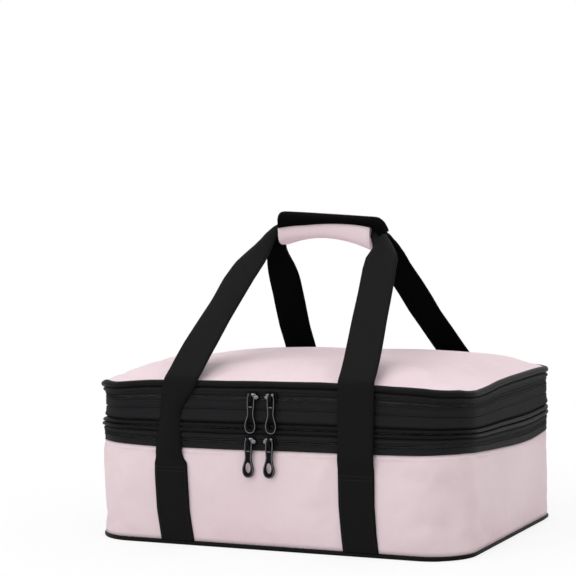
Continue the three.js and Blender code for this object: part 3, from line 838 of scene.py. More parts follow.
def zip_tape_profile(low, high):
    return [
        (-1, low), (0.7, low), (0.95, low + 0.6), (0.7, low + 1.2), (0.6, high - 1.4), (1.1, high - 0.7),
        (0.8, high), (-1, high),
    ]


def deck_band_profile(low, high):
    return [
        (-1, low), (0.9, low), (1.3, low + 0.6), (0.9, low + 1.3), (1.3, low + 2.4), (1.4, high - 1.6),
        (0.6, high - 0.5), (0.0, high + 0.3), (-1, high + 0.3),
    ]


def crown_band_profile(low, high):
    """The widest band, which is creased along three lines."""
    return [
        (-1, low - 0.3), (-0.6, low - 0.3), (-0.5, low + 0.9), (0.9, low + 1.6), (1.9, low + 3.2), (1.9, low + 4.4),
        (1.1, low + 6.2), (0.8, low + 9.5), (0.7, low + 12), (-0.4, low + 13), (-0.5, low + 13.6), (0.8, low + 14.2),
        (0.9, low + 17.5), (0.7, high - 2.6), (0.2, high - 2), (1.2, high - 1.2), (1.1, high - 0.5), (0.8, high),
        (-1, high),
    ]


def lid_band_profile(low, high):
    return [
        (-1, low), (0.8, low), (1.2, low + 0.7), (0.7, low + 1.5), (0.9, low + 2.6), (2.1, low + 3.6), (2.4, low + 5),
        (1.9, high - 0.8), (0.3, high - 0.2), (0.0, high + 0.3), (-1, high + 0.3),
    ]


def crown_lining_profile(low, high):
    return [(-7.9, low), (-7.9, high), (-8.6, high), (-8.9, (low + high) / 2), (-8.6, low)]


def crown_foam_profile(low, high):
    return [(-2.5, low), (-2.5, high), (-7.2, high), (-7.2, low)]


def deck_cord_profile(low, high):
    return round_profile(low, high + FOLD_SQUEEZE, 1, 3)


def crown_cord_profile(low, high):
    return round_profile(low - FOLD_SQUEEZE, high, 1, 2.6)


def lid_cord_profile(low, high):
    return round_profile(low, high, 1, 3.2, 10)


# Each one's name, CAD piece, body and slot, its finish and profile, and the height and start of its waves
BANDS = [
    ("lower_zip_tape_cloth", "lower_zip_tape", "base", "zip", tape, zip_tape_profile, 0, 0),
    ("deck_band_cloth", "deck_band", "deck", "black_fabric", black, deck_band_profile, 0.15, 0),
    ("deck_piping_cord", "deck_piping", "deck", "piping", piping_black, deck_cord_profile, 0.15, 1),
    ("crown_piping_cord", "crown_piping", "crown", "piping", piping_black, crown_cord_profile, 0.15, 2),
    ("crown_band_cloth", "crown_band", "crown", "black_fabric", black, crown_band_profile, 0.2, 3),
    ("crown_lining", "crown_liner", "crown", "liner", lining, crown_lining_profile, 0, 0),
    ("crown_pad", "crown_foam", "crown", "foam", foam, crown_foam_profile, 0, 0),
    ("lid_band_cloth", "lid_band", "lid", "black_fabric", tape, lid_band_profile, 0.15, 4),
    ("lid_piping_cord", "lid_piping", "lid", "piping", piping_black, lid_cord_profile, 0.25, 5),
]
for name, stands_for, body, slot, finish, profile, wave, phase in BANDS:
    dress(swept_band(name, profile(*levels(stands_for)), finish, wave, phase), body, slot, stands_for)

GUSSET_ROWS = 15
GUSSET_INSET = 1.7
GUSSET_FOLD = 0.5
low, high = levels("gusset")
fold = GUSSET_FOLD * np.sin(np.linspace(0, math.pi * 2, GUSSET_ROWS))
z = np.linspace(low, high, GUSSET_ROWS)
points = around(PATH, np.minimum(fold, 0.1) - GUSSET_INSET, z)
gusset = grid_object("expansion_gusset", points, PATH_LENGTH, z, pink, ring=True, sheet=True)
thicken(gusset, 0.6, 0)
dress_between(gusset, "deck", "crown", low + 1, high - 1, "pink_fabric", "gusset")


def hinge_cloth(name, stands_for, body, next_body):
    """The fabric hinge at the rear of a zip."""
    low, high = levels(stands_for)
    xs = np.linspace(0.5 - STRAIGHT_WIDTH, STRAIGHT_WIDTH - 0.5, 60)
    profile = np.array([
        (0.1, low), (0.6, low), (1.0, low + 0.8), (1.1, (low + high) / 2), (1.0, high - 0.8), (0.6, high), (0.1, high),
    ])
    points = soften([[(x, HALF_DEPTH + out, z) for out, z in profile] for x in xs])
    made = grid_object(name, points, xs - xs[0], loop_lengths(profile), black)
    dress_between(made, body, next_body, low + 0.3, high - 0.3, "black_fabric", stands_for)


hinge_cloth("lower_hinge_cloth", "lower_hinge", "base", "deck")
hinge_cloth("upper_hinge_cloth", "upper_hinge", "crown", "lid")

# Lid

DOME_RISE = 15.2
LEFT_PUFF = 6  # the lid's ends puff up beside its edge, the left one only towards the front
LEFT_PUFF_DEPTHS = (-40, 60)
RIGHT_PUFF = 1.5
PUFF_SHARES = (0.6, 0.84, 0.93, 1.0)
DOME_SHARES = [1, 0.99, 0.975, 0.955, 0.93, 0.9, 0.86, 0.82, 0.77, 0.72, 0.66, 0.6, 0.53, 0.46, 0.38, 0.3, 0.2, 0.1]
LINING_DROP = 7.2


def dome_rise(x, y, share):
    """How far the lid's cover lies above its edge."""
    u, v = np.minimum(1, np.abs(x) / HALF_WIDTH), np.minimum(1, np.abs(y) / HALF_DEPTH)
    puff = np.where(x < 0, LEFT_PUFF * (1 - smoothstep(y, *LEFT_PUFF_DEPTHS)), RIGHT_PUFF)
    full = DOME_RISE * (1 - u**4) + puff * swell(u, *PUFF_SHARES)
    return full * (1 - v**3) * (1 - share**26)


def lining_waves(x, y, share):
    return 0.6 * np.sin(x / 21) * np.sin(y / 17) * (1 - share)


def dome(name, inset, edge_level, material, waves=None):
    """The lid's crowned sheet, from its rim to its middle."""
    edge = PATH[:, :2] - inset * PATH[:, 2:4]

    def ring(x, y, share):
        level = edge_level + dome_rise(x, y, share) + (waves(x, y, share) if waves else 0)
        return np.column_stack([x, y, level])

    rings = [ring(*(edge * share).T, share) for share in DOME_SHARES]
    points = soften(np.vstack([*rings, ring(np.zeros(1), np.zeros(1), 0)]))
    faces = ring_faces(len(rings), len(edge), last_centre=len(points) - 1, turned=True)
    made = mesh_object(name, points, faces, material=material)
    map_from_above(made, points)
    if made.data.polygons[len(faces) // 2].normal.z < 0:
        made.data.flip_normals()
    return made


lid_edge = levels("lid_piping")[1] - 1
lid_cover = dome("lid_cover", 1.0, lid_edge, pink)
held = np.zeros(len(lid_cover.data.vertices))
held[: len(PATH) * 2] = 1
held[len(PATH) * 2 : len(PATH) * 3] = 0.5
relax(lid_cover, held, pressure=1.5, slack=0.008, cap=3)
thicken(lid_cover, FABRIC_THICK)
dress(lid_cover, "lid", "pink_fabric", "lid_shell", "lid_foam")

lid_lining = dome("lid_lining", 3, lid_edge - LINING_DROP, lining, lining_waves)
thicken(lid_lining, 0.8)
dress(lid_lining, "lid", "liner", "lid_liner")

# Straps

STRAP_COLUMNS = 9


def unit(vector):
    return vector / np.linalg.norm(vector)


def strap_mesh(name, stations, along_start=0.0):
    """Flat webbing through stations {at, across, through, width, cup}: cup bends its edges towards -through."""
    rows = []
    length = [along_start]
    for index, st in enumerate(stations):
        at = np.asarray(st["at"], float)
        a = unit(np.asarray(st["across"], float))
        t = np.asarray(st["through"], float)
        t = unit(t - a * (t @ a))
        half, cup = st["width"] / 2, st["cup"] if abs(st["cup"]) > 1e-3 else 0
        ring = []
        for side in (1, -1):
            for share in np.linspace(-1, 1, STRAP_COLUMNS)[::side]:
                turn = share * cup
                over, down = share * half, 0
                if cup:
                    over, down = half / cup * math.sin(turn), half / cup * (1 - math.cos(turn))
                h = side * WEB_THICK / 2 * (0.8 if abs(share) == 1 else 1)  # thinner at its two edges
                ring.append(at + a * (over + math.sin(turn) * h) + t * (math.cos(turn) * h - down))
        rows.append(ring)
        if index:
            length.append(length[-1] + float(np.linalg.norm(at - np.asarray(stations[index - 1]["at"], float))))
    steps = ([WEB_WIDTH / (STRAP_COLUMNS - 1)] * (STRAP_COLUMNS - 1) + [WEB_THICK]) * 2
    across = np.concatenate([[0], np.cumsum(steps)])
    made = grid_object(name, np.array(rows), np.array(length), across, web)
    # The strap's inner side takes the darker copy of the webbing: painted shade
    made.data.materials.append(web_painted_shade)
    spans = 2 * STRAP_COLUMNS
    for face in made.data.polygons:
        if face.index < spans * (len(rows) - 1) and STRAP_COLUMNS <= face.index % spans < spans - 1:
            face.material_index = 1
    return made


# Where each strap runs: at a level, its middle's place along X and how wide it looks from the front
STRAPS = {
    "front_left": [
        (4, -100.5, 37.2), (35, -105.2, 37.2), (72, -106.8, 37.2), (83, -106.9, 36.5), (89, -108.3, 31.5),
        (98, -108.2, 30), (112, -107.7, 28.4), (126, -106.6, 27), (136, -105, 25.6), (142, -103.2, 27),
        (150, -99.6, 31.4), (158, -95.8, 36), (166, -92, 38), (175, -89.3, 38.5), (190, -87.8, 38.8),
        (205, -85.6, 37.8), (226, -82.4, 35.5), (245, -78.3, 34.2), (265, -74.4, 35.5), (282, -69.4, 34.5),
        (296, -65, 28), (306, -62, 22), (314, -59, 20), (320, -54, 17), (324, -47, 13),
    ],
    "front_right": [
        (4, 101.3, 37.2), (23, 99.3, 37.2), (50, 97.6, 37.6), (82, 97.8, 38), (98, 98.6, 37.6), (125, 99.5, 37.6),
        (150, 100.3, 38), (166, 100.8, 38), (178, 100, 38.3), (192, 97.7, 38.3), (206, 94.8, 38), (228, 89.9, 37.5),
        (250, 85.7, 37), (262, 83.3, 37), (275, 80.2, 36.5), (288, 78.1, 35.2), (297, 75.4, 26), (301, 73.3, 24),
        (305, 69.9, 22), (311, 65.5, 20), (316, 60, 17), (320, 52, 14),
    ],
    "rear_left": [
        (4, -103, 37.5), (82, -103, 37.5), (150, -102, 37.5), (172, -100, 38), (182, -98.2, 38), (202, -94.8, 38),
        (221, -90, 38.3), (240, -85, 37.6), (259, -80.6, 37.5), (268, -78.6, 36), (277, -76.6, 33.5),
        (287, -74.5, 29), (298, -70.5, 22), (308, -65, 17), (315, -60, 15), (318, -56, 14),
    ],
    "rear_right": [
        (4, 103, 37.5), (82, 102, 37.5), (150, 94, 37.5), (172, 87.3, 37.3), (185, 83.3, 37), (204, 77.8, 36.7),
        (223, 71.9, 36.4), (241, 68.2, 36.5), (259, 63.4, 36.5), (277, 59.2, 34.5), (295, 58, 32), (304, 58.5, 30),
        (312, 58.5, 25), (317, 55, 16),
    ],
}
GRIP_BACK = 10
GRIP_SPREAD = 7
WALL_OUT = 1.3
FREE_OUT = 4.6
STRAP_SAG = 1.4
GATHER_FROM = 0.78
TOP_TURN = 0.5
GATHER_CUP = 2.1  # how much a strap's edges bend, in radians, as it narrows and as it turns
TURN_CUP = 0.5
WALL_EASE = 14  # the height over which a strap leaves the wall
# Levels up to the knee, at which a strap bends inwards over the lid's edge, and those where it is cut
LEG_LEVELS = [82, 83, 84, 86, 88, 92, 96, 104, 112, 120, 128, 136, 142, 146, 150, 152, 154, 156, 158, 162, 165]
KNEE_LEVEL = LEG_LEVELS[-1]
KNEE_RADIUS = 12
KNEE_STEPS = 5
LEG_STEPS = 26
BEND_CUT = 104
RISE_CUT = 150
REAR_KNEE_CUT = 170
FOOT_ROWS = 18
HANDLE_BEND = (83, 100)  # the levels between a strap's lengths on one CAD body and on the next
RISER_BEND = (105, 148)
REAR_KNEE_BEND = (150, 157)


def strap_station(path, z, out, end, through, turned=0.0, side=1, run=None):
    """One station of a strap at a level, turned edge-on by a share as it gathers towards the grip."""
    heights, middles, widths = np.transpose(path)
    x, seen = float(np.interp(z, heights, middles)), float(np.interp(z, heights, widths))
    across = np.array([1.0, 0, 0])
    if turned:
        across = unit(across * (1 - turned) + np.array([0, -end * side, 0.25 * side]) * turned)
    width = min(WEB_WIDTH, seen / max(abs(across[0]), 0.4))
    cup = GATHER_CUP * (1 - width / WEB_WIDTH) + TURN_CUP * turned
    if run is not None:
        across = across - run * (across @ run) / (run @ run)
        through = np.cross(across, run) * -end
    return dict(at=(x, out, z), across=across, through=through, width=width, cup=cup)


def leg_stations(path, side, end):
    """The free strap: up from the stitches, over the lid's edge, and to the grip's end, where it gathers."""
    wall_y = end * (HALF_DEPTH + WALL_OUT)
    free_y = end * (HALF_DEPTH + FREE_OUT)
    stations = []
    for z in LEG_LEVELS:
        out = wall_y + (free_y - wall_y) * float(smoothstep(z, STITCH_LEVEL, STITCH_LEVEL + WALL_EASE))
        stations.append(strap_station(path, z, out, end, (0, end, 0)))
    top_y, top_z = GRIP_BACK + end * GRIP_SPREAD, path[-1][0]
    slope = math.atan2(abs(free_y - top_y), top_z - KNEE_LEVEL)
    for k in range(1, KNEE_STEPS + 1):
        turn = slope * k / KNEE_STEPS
        out = free_y - end * KNEE_RADIUS * (1 - math.cos(turn))
        z = KNEE_LEVEL + KNEE_RADIUS * math.sin(turn)
        stations.append(strap_station(path, z, out, end, (0, end * math.cos(turn), math.sin(turn))))
    foot = np.array(stations[-1]["at"])
    run = np.array([0, top_y - foot[1], top_z - foot[2]])
    for k in range(1, LEG_STEPS + 1):
        share = k / LEG_STEPS
        at = foot + run * share
        sag = math.sin(math.pi * share) * STRAP_SAG
        turned = TOP_TURN * float(smoothstep(share, GATHER_FROM, 1.02))
        stations.append(strap_station(path, at[2], at[1] - end * sag, end, (0, 0, 1), turned, side, run))
    return stations


def cut_at(stations, level):
    """Cuts a strap at a level, and gives both parts the station there."""
    index = next(i for i, st in enumerate(stations) if st["at"][2] >= level - 1e-6)
    return stations[: index + 1], stations[index:]


SEAM_INSET = 3
CROSS_SEAMS = (3, 7)  # below the stitch level
foot_seams = []
strap_foot = levels("lower_wall")[0] - 0.2
for tag, path in STRAPS.items():
    end_name, side_name = tag.split("_")
    end, side = (-1 if end_name == "front" else 1), (-1 if side_name == "left" else 1)
    handle = end_name + "_handle"
    riser = "front_grip" if end < 0 else "rear_riser"
    wall_y = end * (HALF_DEPTH + WALL_OUT)
    heights = np.linspace(strap_foot, STITCH_LEVEL, FOOT_ROWS)
    foot = strap_mesh(tag + "_strap_foot", [strap_station(path, z, wall_y, end, (0, end, 0)) for z in heights])
    dress(foot, "base", "webbing", tag + "_strap_sewn")

    start = STITCH_LEVEL - strap_foot
    first, rest = cut_at(leg_stations(path, side, end), BEND_CUT)
    second, third = cut_at(rest, RISE_CUT)
    made = strap_mesh(tag + "_strap_bend", first, start)
    dress_between(made, "base", handle, *HANDLE_BEND, "webbing", tag + "_strap_run")
    made = strap_mesh(tag + "_strap_rise", second, start + BEND_CUT - STITCH_LEVEL)
    dress_between(made, handle, riser, *RISER_BEND, "webbing", tag + "_strap_riser")
    leg_cut = RISE_CUT
    if end > 0:
        knee, third = cut_at(third, REAR_KNEE_CUT)
        made = strap_mesh(tag + "_strap_knee", knee, start + RISE_CUT - STITCH_LEVEL)
        dress_between(made, "rear_riser", "rear_grip", *REAR_KNEE_BEND, "webbing")
        leg_cut = REAR_KNEE_CUT
    leg = strap_mesh(tag + "_strap_upper", third, start + leg_cut - STITCH_LEVEL)
    dress(leg, end_name + "_grip", "webbing", tag + "_strap_leg")
    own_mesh(leg)

    face = end * (HALF_DEPTH + WALL_OUT + WEB_THICK / 2 + 0.05)
    edge = WEB_WIDTH / 2 - SEAM_INSET
    heights = np.linspace(strap_foot + 4, STITCH_LEVEL - 3, 9)
    middles = np.interp(heights, *np.transpose(path)[:2])
    foot_seams += [[(x + k * edge, face, z) for x, z in zip(middles, heights)] for k in (-1, 1)]
    foot_seams += [[(middles[-1] + k * edge, face, STITCH_LEVEL - drop) for k in (-1, 1)] for drop in CROSS_SEAMS]

sewn("strap_stitches", foot_seams, thread_black, "base", "webbing")

# Grip

WRAP_DEEP = 44
WRAP_HIGH = 23.5
WRAP_HALF = 52.5
FRONT_FLAT = 0.7  # below 1, the grip's front is flatter than an oval's
UNDER_FLAT = 0.5
GRIP_SHIFT = 4
GRIP_ARCH = 10.5
GRIP_TILT = 0.07
GRIP_CENTRE = 316.8
WRAP_ENDS = (GRIP_SHIFT - WRAP_HALF, GRIP_SHIFT + WRAP_HALF)
LOOP_ENDS = (GRIP_SHIFT - 45, GRIP_SHIFT + 45)
BAND_ROWS = 61
TURN_STEPS = 30
GIRTH_STEP = 2.4


def oval_band(name, turns, inner, outer, ends, material, bulge=None, fall=None, skew=0, short=None):
    """A band round the grip's oval between two turns in degrees: 0 is the rear, 90 the top and 180 the front.

    The grip's top is straight and its underside arched, and it leans down a little to the right. bulge thickens the
    band by its turn, fall lowers it and short ends its second turn sooner along X, and skew slants its left end."""
    rows = []
    xs = np.linspace(*ends, BAND_ROWS)
    for x in xs:
        ring = []
        to_end = min(x - ends[0], ends[1] - x)
        rim = 1 - 0.03 * float(1 - smoothstep(to_end, 0, 2))
        arch = GRIP_ARCH * ((x - GRIP_SHIFT) / WRAP_HALF) ** 2
        tilt = GRIP_TILT * (x - GRIP_SHIFT) + (fall(x) if fall else 0)
        last = turns[1] - (short(x) if short else 0)
        for offset, order in ((outer, 1), (inner, -1)):
            for t in np.radians(np.linspace(turns[0], last, TURN_STEPS + 1))[::order]:
                extra = offset + (bulge(math.degrees(t), order > 0) if bulge else 0)
                high = math.sin(t)
                c, s = math.cos(t), high
                if c < 0:
                    flat = FRONT_FLAT if s > 0 else UNDER_FLAT
                    c, s = -((-c) ** flat), math.copysign(abs(s) ** flat, s)
                y = GRIP_BACK + (WRAP_DEEP / 2 + extra) * rim * c
                z = GRIP_CENTRE + (WRAP_HIGH / 2 + extra) * rim * s - arch * ((1 - high) / 2) ** 0.7 - tilt
                ring.append((x + skew * high * float(smoothstep(-x, 20, -ends[0])), y, z))
        rows.append(ring)
    girth = np.arange(2 * (TURN_STEPS + 1) + 1) * GIRTH_STEP
    return grid_object(name, np.array(rows), xs - xs[0], girth, material)


def grip_part(made, body, slot, *replaced):
    """Dresses a part of the grip on its own copy of its mesh. Its body rises when the fold is let out, but the straps
    grow no longer."""
    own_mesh(made)
    dress(made, body, slot, *replaced)


def rear_roll(turn, outside):
    """The padding stands up behind the webbing as a soft roll."""
    return 3.4 * math.exp(-(((turn - 70) / 17) ** 2)) if outside else 0


def flap_lap(turn, outside):
    """The closing flap carries on from the pad's underside and laps over its rear edge."""
    return float(smoothstep(turn, 322, 350)) * (3.2 if outside else 4.8)


STRIPE_TURN_FROM = 55
STRIPE_TURN_RADIUS = 15


def stripe_end(x):
    """The rear webbing turns down at the grip's right end."""
    over = min(max(0, x - STRIPE_TURN_FROM), STRIPE_TURN_RADIUS - 0.3)
    return STRIPE_TURN_RADIUS - math.sqrt(STRIPE_TURN_RADIUS**2 - over * over)


def stripe_narrows(x):
    return 25 * float(smoothstep(x, -20, 56))


pad = oval_band("grip_pad", (-14, 262), -5, 0, WRAP_ENDS, pink, rear_roll)
grip_part(pad, "rear_grip", "pink_fabric", "grip_wrap")
flap = oval_band("grip_closing_flap", (266, 386), -4.2, 0, WRAP_ENDS, pink, flap_lap)
grip_part(flap, "flap", "pink_fabric", "grip_flap", "grip_hook_tape")
loops = oval_band("grip_loop_strip", (-10, 28), 0.05, 0.5, LOOP_ENDS, hook_tape)
grip_part(loops, "rear_grip", "hook_and_loop", "grip_loop_tape")
# The grip's top webbing takes the darker copy of the webbing: painted shade
stripe = oval_band(
    "rear_grip_webbing", (92, 175.5), 0.3, 2.3, (-47, 70.5), web_painted_shade,
    fall=stripe_end, skew=-4, short=stripe_narrows,
)
grip_part(stripe, "rear_grip", "webbing", "rear_grip_web")

INNER_WEB_LEVEL = 316
INNER_WEB_ENDS = (-53, 58)
INNER_WEB_ROWS = 23
inner_stations = []
for x in np.linspace(*INNER_WEB_ENDS, INNER_WEB_ROWS):
    width = 33 - 19 * float(smoothstep(abs(x - 3), 38, 56))
    at = (x, GRIP_BACK, INNER_WEB_LEVEL - GRIP_TILT * x)
    inner_stations.append(dict(at=at, across=(0, 1, 0), through=(0, 0, 1), width=width, cup=0.3))
grip_part(strap_mesh("front_grip_webbing", inner_stations), "front_grip", "webbing", "front_grip_web")

# Zip sliders and pulls


def flat_shape(name, loops, half_thick, bevel, material):
    """A plate from closed outlines [x, z], the first being its edge and the others its holes."""
    curve = bpy.data.curves.new(name, "CURVE")
    curve.dimensions = "2D"
    curve.fill_mode = "BOTH"
    curve.extrude = (half_thick - bevel) * MM
    curve.bevel_depth = bevel * MM
    curve.bevel_resolution = 2
    for loop_points in loops:
        spline = curve.splines.new("POLY")
        spline.points.add(len(loop_points) - 1)
        for point, (x, y) in zip(spline.points, loop_points):
            point.co = (x * MM, y * MM, 0, 1)
        spline.use_cyclic_u = True
    holder = linked(name, curve)
    bpy.context.view_layer.update()
    mesh = plain_mesh(holder)
    bpy.data.objects.remove(holder)
    mesh.transform(Matrix.Rotation(math.radians(90), 4, "X"))
    mesh.materials.clear()
    mesh.materials.append(material)
    work = bmesh.new()
    work.from_mesh(mesh)
    bmesh.ops.remove_doubles(work, verts=work.verts, dist=1e-6)
    bmesh.ops.recalc_face_normals(work, faces=work.faces)
    work.to_mesh(mesh)
    work.free()
    return linked(name, mesh)


def smooth_loop(points, rounds):
    """Rounds a closed outline by cutting its corners."""
    pts = np.array(points, float)
    for _ in range(rounds):
        after = np.roll(pts, -1, axis=0)
        pts = np.stack([0.75 * pts + 0.25 * after, 0.25 * pts + 0.75 * after], axis=1).reshape(-1, 2)
    return pts.tolist()


def rounded_box(width, height, radius, middle, steps=4):
    """A closed outline with round corners, its middle at a level."""
    found = []
    for x, z, start in ((1, 1, 0), (-1, 1, 90), (-1, -1, 180), (1, -1, 270)):
        corner_x, corner_z = x * (width / 2 - radius), middle + z * (height / 2 - radius)
        for k in range(steps + 1):
            turn = math.radians(start + 90 * k / steps)
            found.append((corner_x + radius * math.cos(turn), corner_z + radius * math.sin(turn)))
    return found


def offset_loop(points, distance):
    """Moves a closed outline outwards, or inwards where distance is negative."""
    pts = np.array(points, float)
    along = np.roll(pts, -1, axis=0) - np.roll(pts, 1, axis=0)
    normal = np.column_stack([along[:, 1], -along[:, 0]])
    normal /= np.linalg.norm(normal, axis=1)[:, None]
    area = 0.5 * np.sum(pts[:, 0] * np.roll(pts[:, 1], -1) - np.roll(pts[:, 0], -1) * pts[:, 1])
    return (pts + normal * distance * (1 if area > 0 else -1)).tolist()


def ellipse(middle, half_width, half_height, steps=28):
    turns = np.arange(steps) * 2 * math.pi / steps
    return [(half_width * math.cos(t), middle + half_height * math.sin(t)) for t in turns]


def lump(name, centre, halves, material, taper):
    """A smooth lump, thinner towards one end of its length by taper."""
    shape = bmesh.new()
    bmesh.ops.create_uvsphere(shape, u_segments=28, v_segments=16, radius=1)
    for vertex in shape.verts:
        x, y, z = vertex.co
        thin = 1 - taper * x
        vertex.co = Vector([c + h * v for c, h, v in zip(centre, halves, (x, y * thin, z * thin))]) * MM
    mesh = bpy.data.meshes.new(name)
    shape.to_mesh(mesh)
    shape.free()
    mesh.materials.append(material)
    return linked(name, mesh)


# Half of a pull's edge, from its top by the waist to its foot, and its ribs: their level and width
PULL_EDGE = [
    (2.6, 1.9), (3.6, 1.2), (3.9, -1), (3.8, -8), (3.5, -11), (3.1, -14.5), (3.3, -18), (4.4, -22), (5.9, -26.5),
    (5.7, -31), (4.2, -34.2), (1.5, -35.6),
]
PULL_RIBS = [(-11.6, 3.6), (-13.5, 3.3), (-15.4, 3.3), (-17.3, 3.6)]
SLIDER_EDGE = [(-6, -3.2), (-4.6, -4.8), (4.6, -4.8), (6, -3.2), (6, 3.2), (4.6, 4.8), (-4.6, 4.8), (-6, 3.2)]
BRIDGE_EDGE = [
    (0.6, -4.2), (3.4, -4.2), (4.4, -3.2), (4.5, 3.2), (3.4, 4.2), (0.6, 4.2), (0.6, 2.9), (2.6, 2.9), (3.2, 2.3),
    (3.2, -2.3), (2.6, -2.9), (0.6, -2.9),
]
# How each pull lies: its shift along the zip, and how far its foot leans to the left, in degrees
PULL_LIE = {"lower_left": (-1.1, 2.4), "lower_right": (1.4, 2.4), "upper_left": (2.6, 2.9), "upper_right": (3.9, 1.0)}
SLIDER_OUT = WALL_OUT + 0.8


def pull_parts(name):
    """A cast pull: an open frame at its top, a ribbed waist and a round foot with an oval hole. It hangs from the
    origin."""
    edge = smooth_loop(PULL_EDGE + [(-x, z) for x, z in reversed(PULL_EDGE)], 2)
    window = rounded_box(3.9, 8.4, 0.9, -4.6)
    hole = ellipse(-26, 3.4, 5.7)
    parts = [
        flat_shape(name + "_plate", [edge, window, hole], 0.95, 0.35, metal),
        # The rims and the window's bar take the brighter metal: painted highlight
        flat_shape(name + "_ridge", [offset_loop(edge, -0.1), offset_loop(edge, -0.6)], 1.15, 0.2, rim_highlight_metal),
        flat_shape(name + "_window_ridge", [rounded_box(3.6, 0.6, 0.28, -9.4)], 1.1, 0.25, rim_highlight_metal),
    ]
    for z, wide in PULL_RIBS:
        rib = flat_shape(name + "_rib", [rounded_box(wide, 0.9, 0.4, z)], 0.45, 0.28, metal)
        rib.data.transform(Matrix.Translation((0, -0.7 * MM, 0)))
        parts.append(rib)
    return parts


def slider_parts(name, inward):
    """A slider: a plate with turned edges, the bridge that the pull hangs from, and a nose where its mouth is."""
    parts = [
        flat_shape(name + "_body", [smooth_loop(SLIDER_EDGE, 2)], 0.8, 0.35, metal),
        lump(name + "_nose", (inward * 5.0, -1.3, 0.4), (3.0, 2.0, 2.6), gunmetal, 0.25 * inward),
        lump(name + "_crown", (inward * 1.0, -2.6, 3.0), (4.9, 2.0, 1.7), gunmetal, 0.12 * inward),
    ]
    bridge = flat_shape(name + "_bridge", [smooth_loop(BRIDGE_EDGE, 1)], 1.7, 0.5, metal)
    bridge.data.transform(Matrix.Rotation(math.radians(-90), 4, "Z"))
    return parts + [bridge]


def casting(cad_piece, parts, place):
    """Joins a casting's parts and sets them in their place."""
    made = joined(cad_piece + "_casting", parts)
    made.data.transform(place)
    shade_smooth(made)
    dress(made, cad_piece, "cast_metal", cad_piece)


for tag, (shift, lean) in PULL_LIE.items():
    middle = sum(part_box(tag + "_slider"), Vector()) / 2
    x = middle.x + shift * MM
    z = soften([[x / MM, -HALF_DEPTH, middle.z / MM]])[0, 2] * MM
    inward = 1 if tag.endswith("left") else -1
    place = Matrix.Translation((x, -(HALF_DEPTH + SLIDER_OUT) * MM, z))
    casting(tag + "_slider", slider_parts(tag, inward), place)
    y = (sum(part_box(tag + "_pull"), Vector()) / 2).y
    place = Matrix.Translation((x, y, z)) @ Matrix.Rotation(math.radians(lean), 4, "Y")
    casting(tag + "_pull", pull_parts(tag), place)

# Seams

deck_low, crown_low, lid_low = (levels(cad_piece)[0] for cad_piece in ("deck_band", "crown_band", "lid_band"))
crown_seams = [path_on(1.1, levels("crown_band")[1] - 3.2), path_on(0.7, crown_low + 14)]
sewn("wall_stitches", [path_on(0.25, wall_high - 5)], thread_pink, "base", "pink_fabric")
sewn("deck_stitches", [path_on(1.25, deck_low + 2.2)], thread_black, "deck", "black_fabric")
sewn("crown_stitches", crown_seams, thread_black, "crown", "black_fabric")
sewn("lid_stitches", [path_on(1.0, lid_low + 2.2)], thread_black, "lid", "black_fabric")

# Stage, light and camera

FLOOR_HALF = 12000
WHITE = (1, 1, 1, 1)
FLOOR_PAINT = (0.9, 0.9, 0.9, 1)
SHADE_SEEN = (0.3, 0.62, 0.8, 1)  # from which distance to which, in metres, and from which share of white to which
ROOM_LIGHT = 0.58

floor_corners = [(x * FLOOR_HALF, y * FLOOR_HALF, 0) for x, y in ((-1, -1), (1, -1), (1, 1), (-1, 1))]
floor = mesh_object("studio_floor", floor_corners, [(0, 1, 2, 3)], smooth=False)
white = bpy.data.materials.new("studio_white")
white.use_nodes = True
white.node_tree.nodes.clear()
result = node(white, "ShaderNodeOutputMaterial")
paint = node(white, "ShaderNodeBsdfDiffuse", Color=FLOOR_PAINT)
glow = node(white, "ShaderNodeEmission", Color=WHITE)
both = node(white, "ShaderNodeMixShader")
rays = node(white, "ShaderNodeLightPath")
spot = node(white, "ShaderNodeTexCoord")
away = node(white, "ShaderNodeVectorMath", operation="LENGTH")
link(white, spot.outputs["Object"], away.inputs[0])
fade = span_node(white, away.outputs["Value"], *SHADE_SEEN, interpolation_type="SMOOTHSTEP")
link(white, math_node(white, "MULTIPLY", rays.outputs["Is Camera Ray"], fade), both.inputs[0])
link(white, paint.outputs[0], both.inputs[1])
link(white, glow.outputs[0], both.inputs[2])
link(white, both.outputs[0], result.inputs["Surface"])
floor.data.materials.append(white)

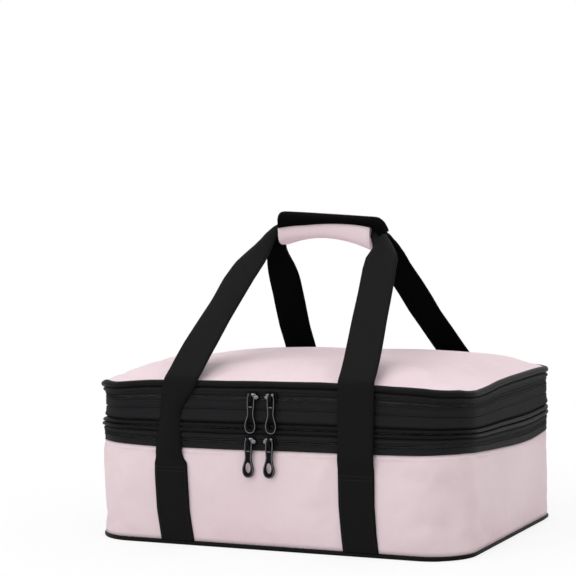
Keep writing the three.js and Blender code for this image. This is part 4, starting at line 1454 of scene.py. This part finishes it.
world = bpy.data.worlds.new("studio")
bpy.context.scene.world = world
world.use_nodes = True
world.node_tree.nodes.clear()
result = node(world, "ShaderNodeOutputWorld")
seen = node(world, "ShaderNodeBackground", Color=WHITE, Strength=1)
lit = node(world, "ShaderNodeBackground", Color=WHITE, Strength=ROOM_LIGHT)
both = node(world, "ShaderNodeMixShader")
rays = node(world, "ShaderNodeLightPath").outputs
shown = math_node(world, "MAXIMUM", rays["Is Camera Ray"], rays["Is Glossy Ray"])
link(world, math_node(world, "MAXIMUM", shown, rays["Is Transmission Ray"]), both.inputs[0])
link(world, lit.outputs[0], both.inputs[1])
link(world, seen.outputs[0], both.inputs[2])
link(world, both.outputs[0], result.inputs["Surface"])


def lamp(name, place, aim, size, power):
    """An area lamp that looks at a point on the middle line."""
    data = bpy.data.lights.new(name, "AREA")
    data.shape = "RECTANGLE"
    data.size, data.size_y = size
    data.energy = power
    made = linked(name, data)
    made.location = place
    made.rotation_euler = (Vector((0, 0, aim)) - Vector(place)).to_track_quat("-Z", "Y").to_euler()


lamp("front_softbox", (-1.3, -2.3, 1.2), 0.12, (2.6, 1.8), 11)
lamp("side_softbox", (2.5, 0.6, 1.2), 0.12, (1.6, 1.4), 1.5)
lamp("strip_softbox", (-0.3, -1.7, 1.7), 0.14, (1.6, 0.12), 3.5)
lamp("top_softbox", (0.1, -0.1, 2.4), 0.1, (3.6, 3.2), 40)

CAMERA_TURN = 25.532
CAMERA_RISE = 3.029
CAMERA_ROLL = -1.127
CAMERA_DISTANCE = 2.033948
CAMERA_AIM = (-0.043396, 0, 0.252427)
FOCAL_PIXELS = 1907.332
PHOTO_SIDE = 576
SENSOR = 36

turn, rise, roll = (math.radians(angle) for angle in (CAMERA_TURN, CAMERA_RISE, CAMERA_ROLL))
back = Vector((math.sin(turn) * math.cos(rise), -math.cos(turn) * math.cos(rise), math.sin(rise)))
right = (-back).cross(Vector((0, 0, 1))).normalized()
up = right.cross(-back)
right, up = right * math.cos(roll) + up * math.sin(roll), up * math.cos(roll) - right * math.sin(roll)
camera_data = bpy.data.cameras.new("camera")
camera_data.sensor_width = SENSOR
camera_data.lens = FOCAL_PIXELS / PHOTO_SIDE * SENSOR
camera_data.clip_start = 0.05
camera_data.clip_end = 50
camera = linked("camera", camera_data)
place = Matrix.Translation(Vector(CAMERA_AIM) + back * CAMERA_DISTANCE)
camera.matrix_world = place @ Matrix((right, up, back)).transposed().to_4x4()
bpy.context.scene.camera = camera
bpy.context.scene.view_settings.view_transform = "Standard"
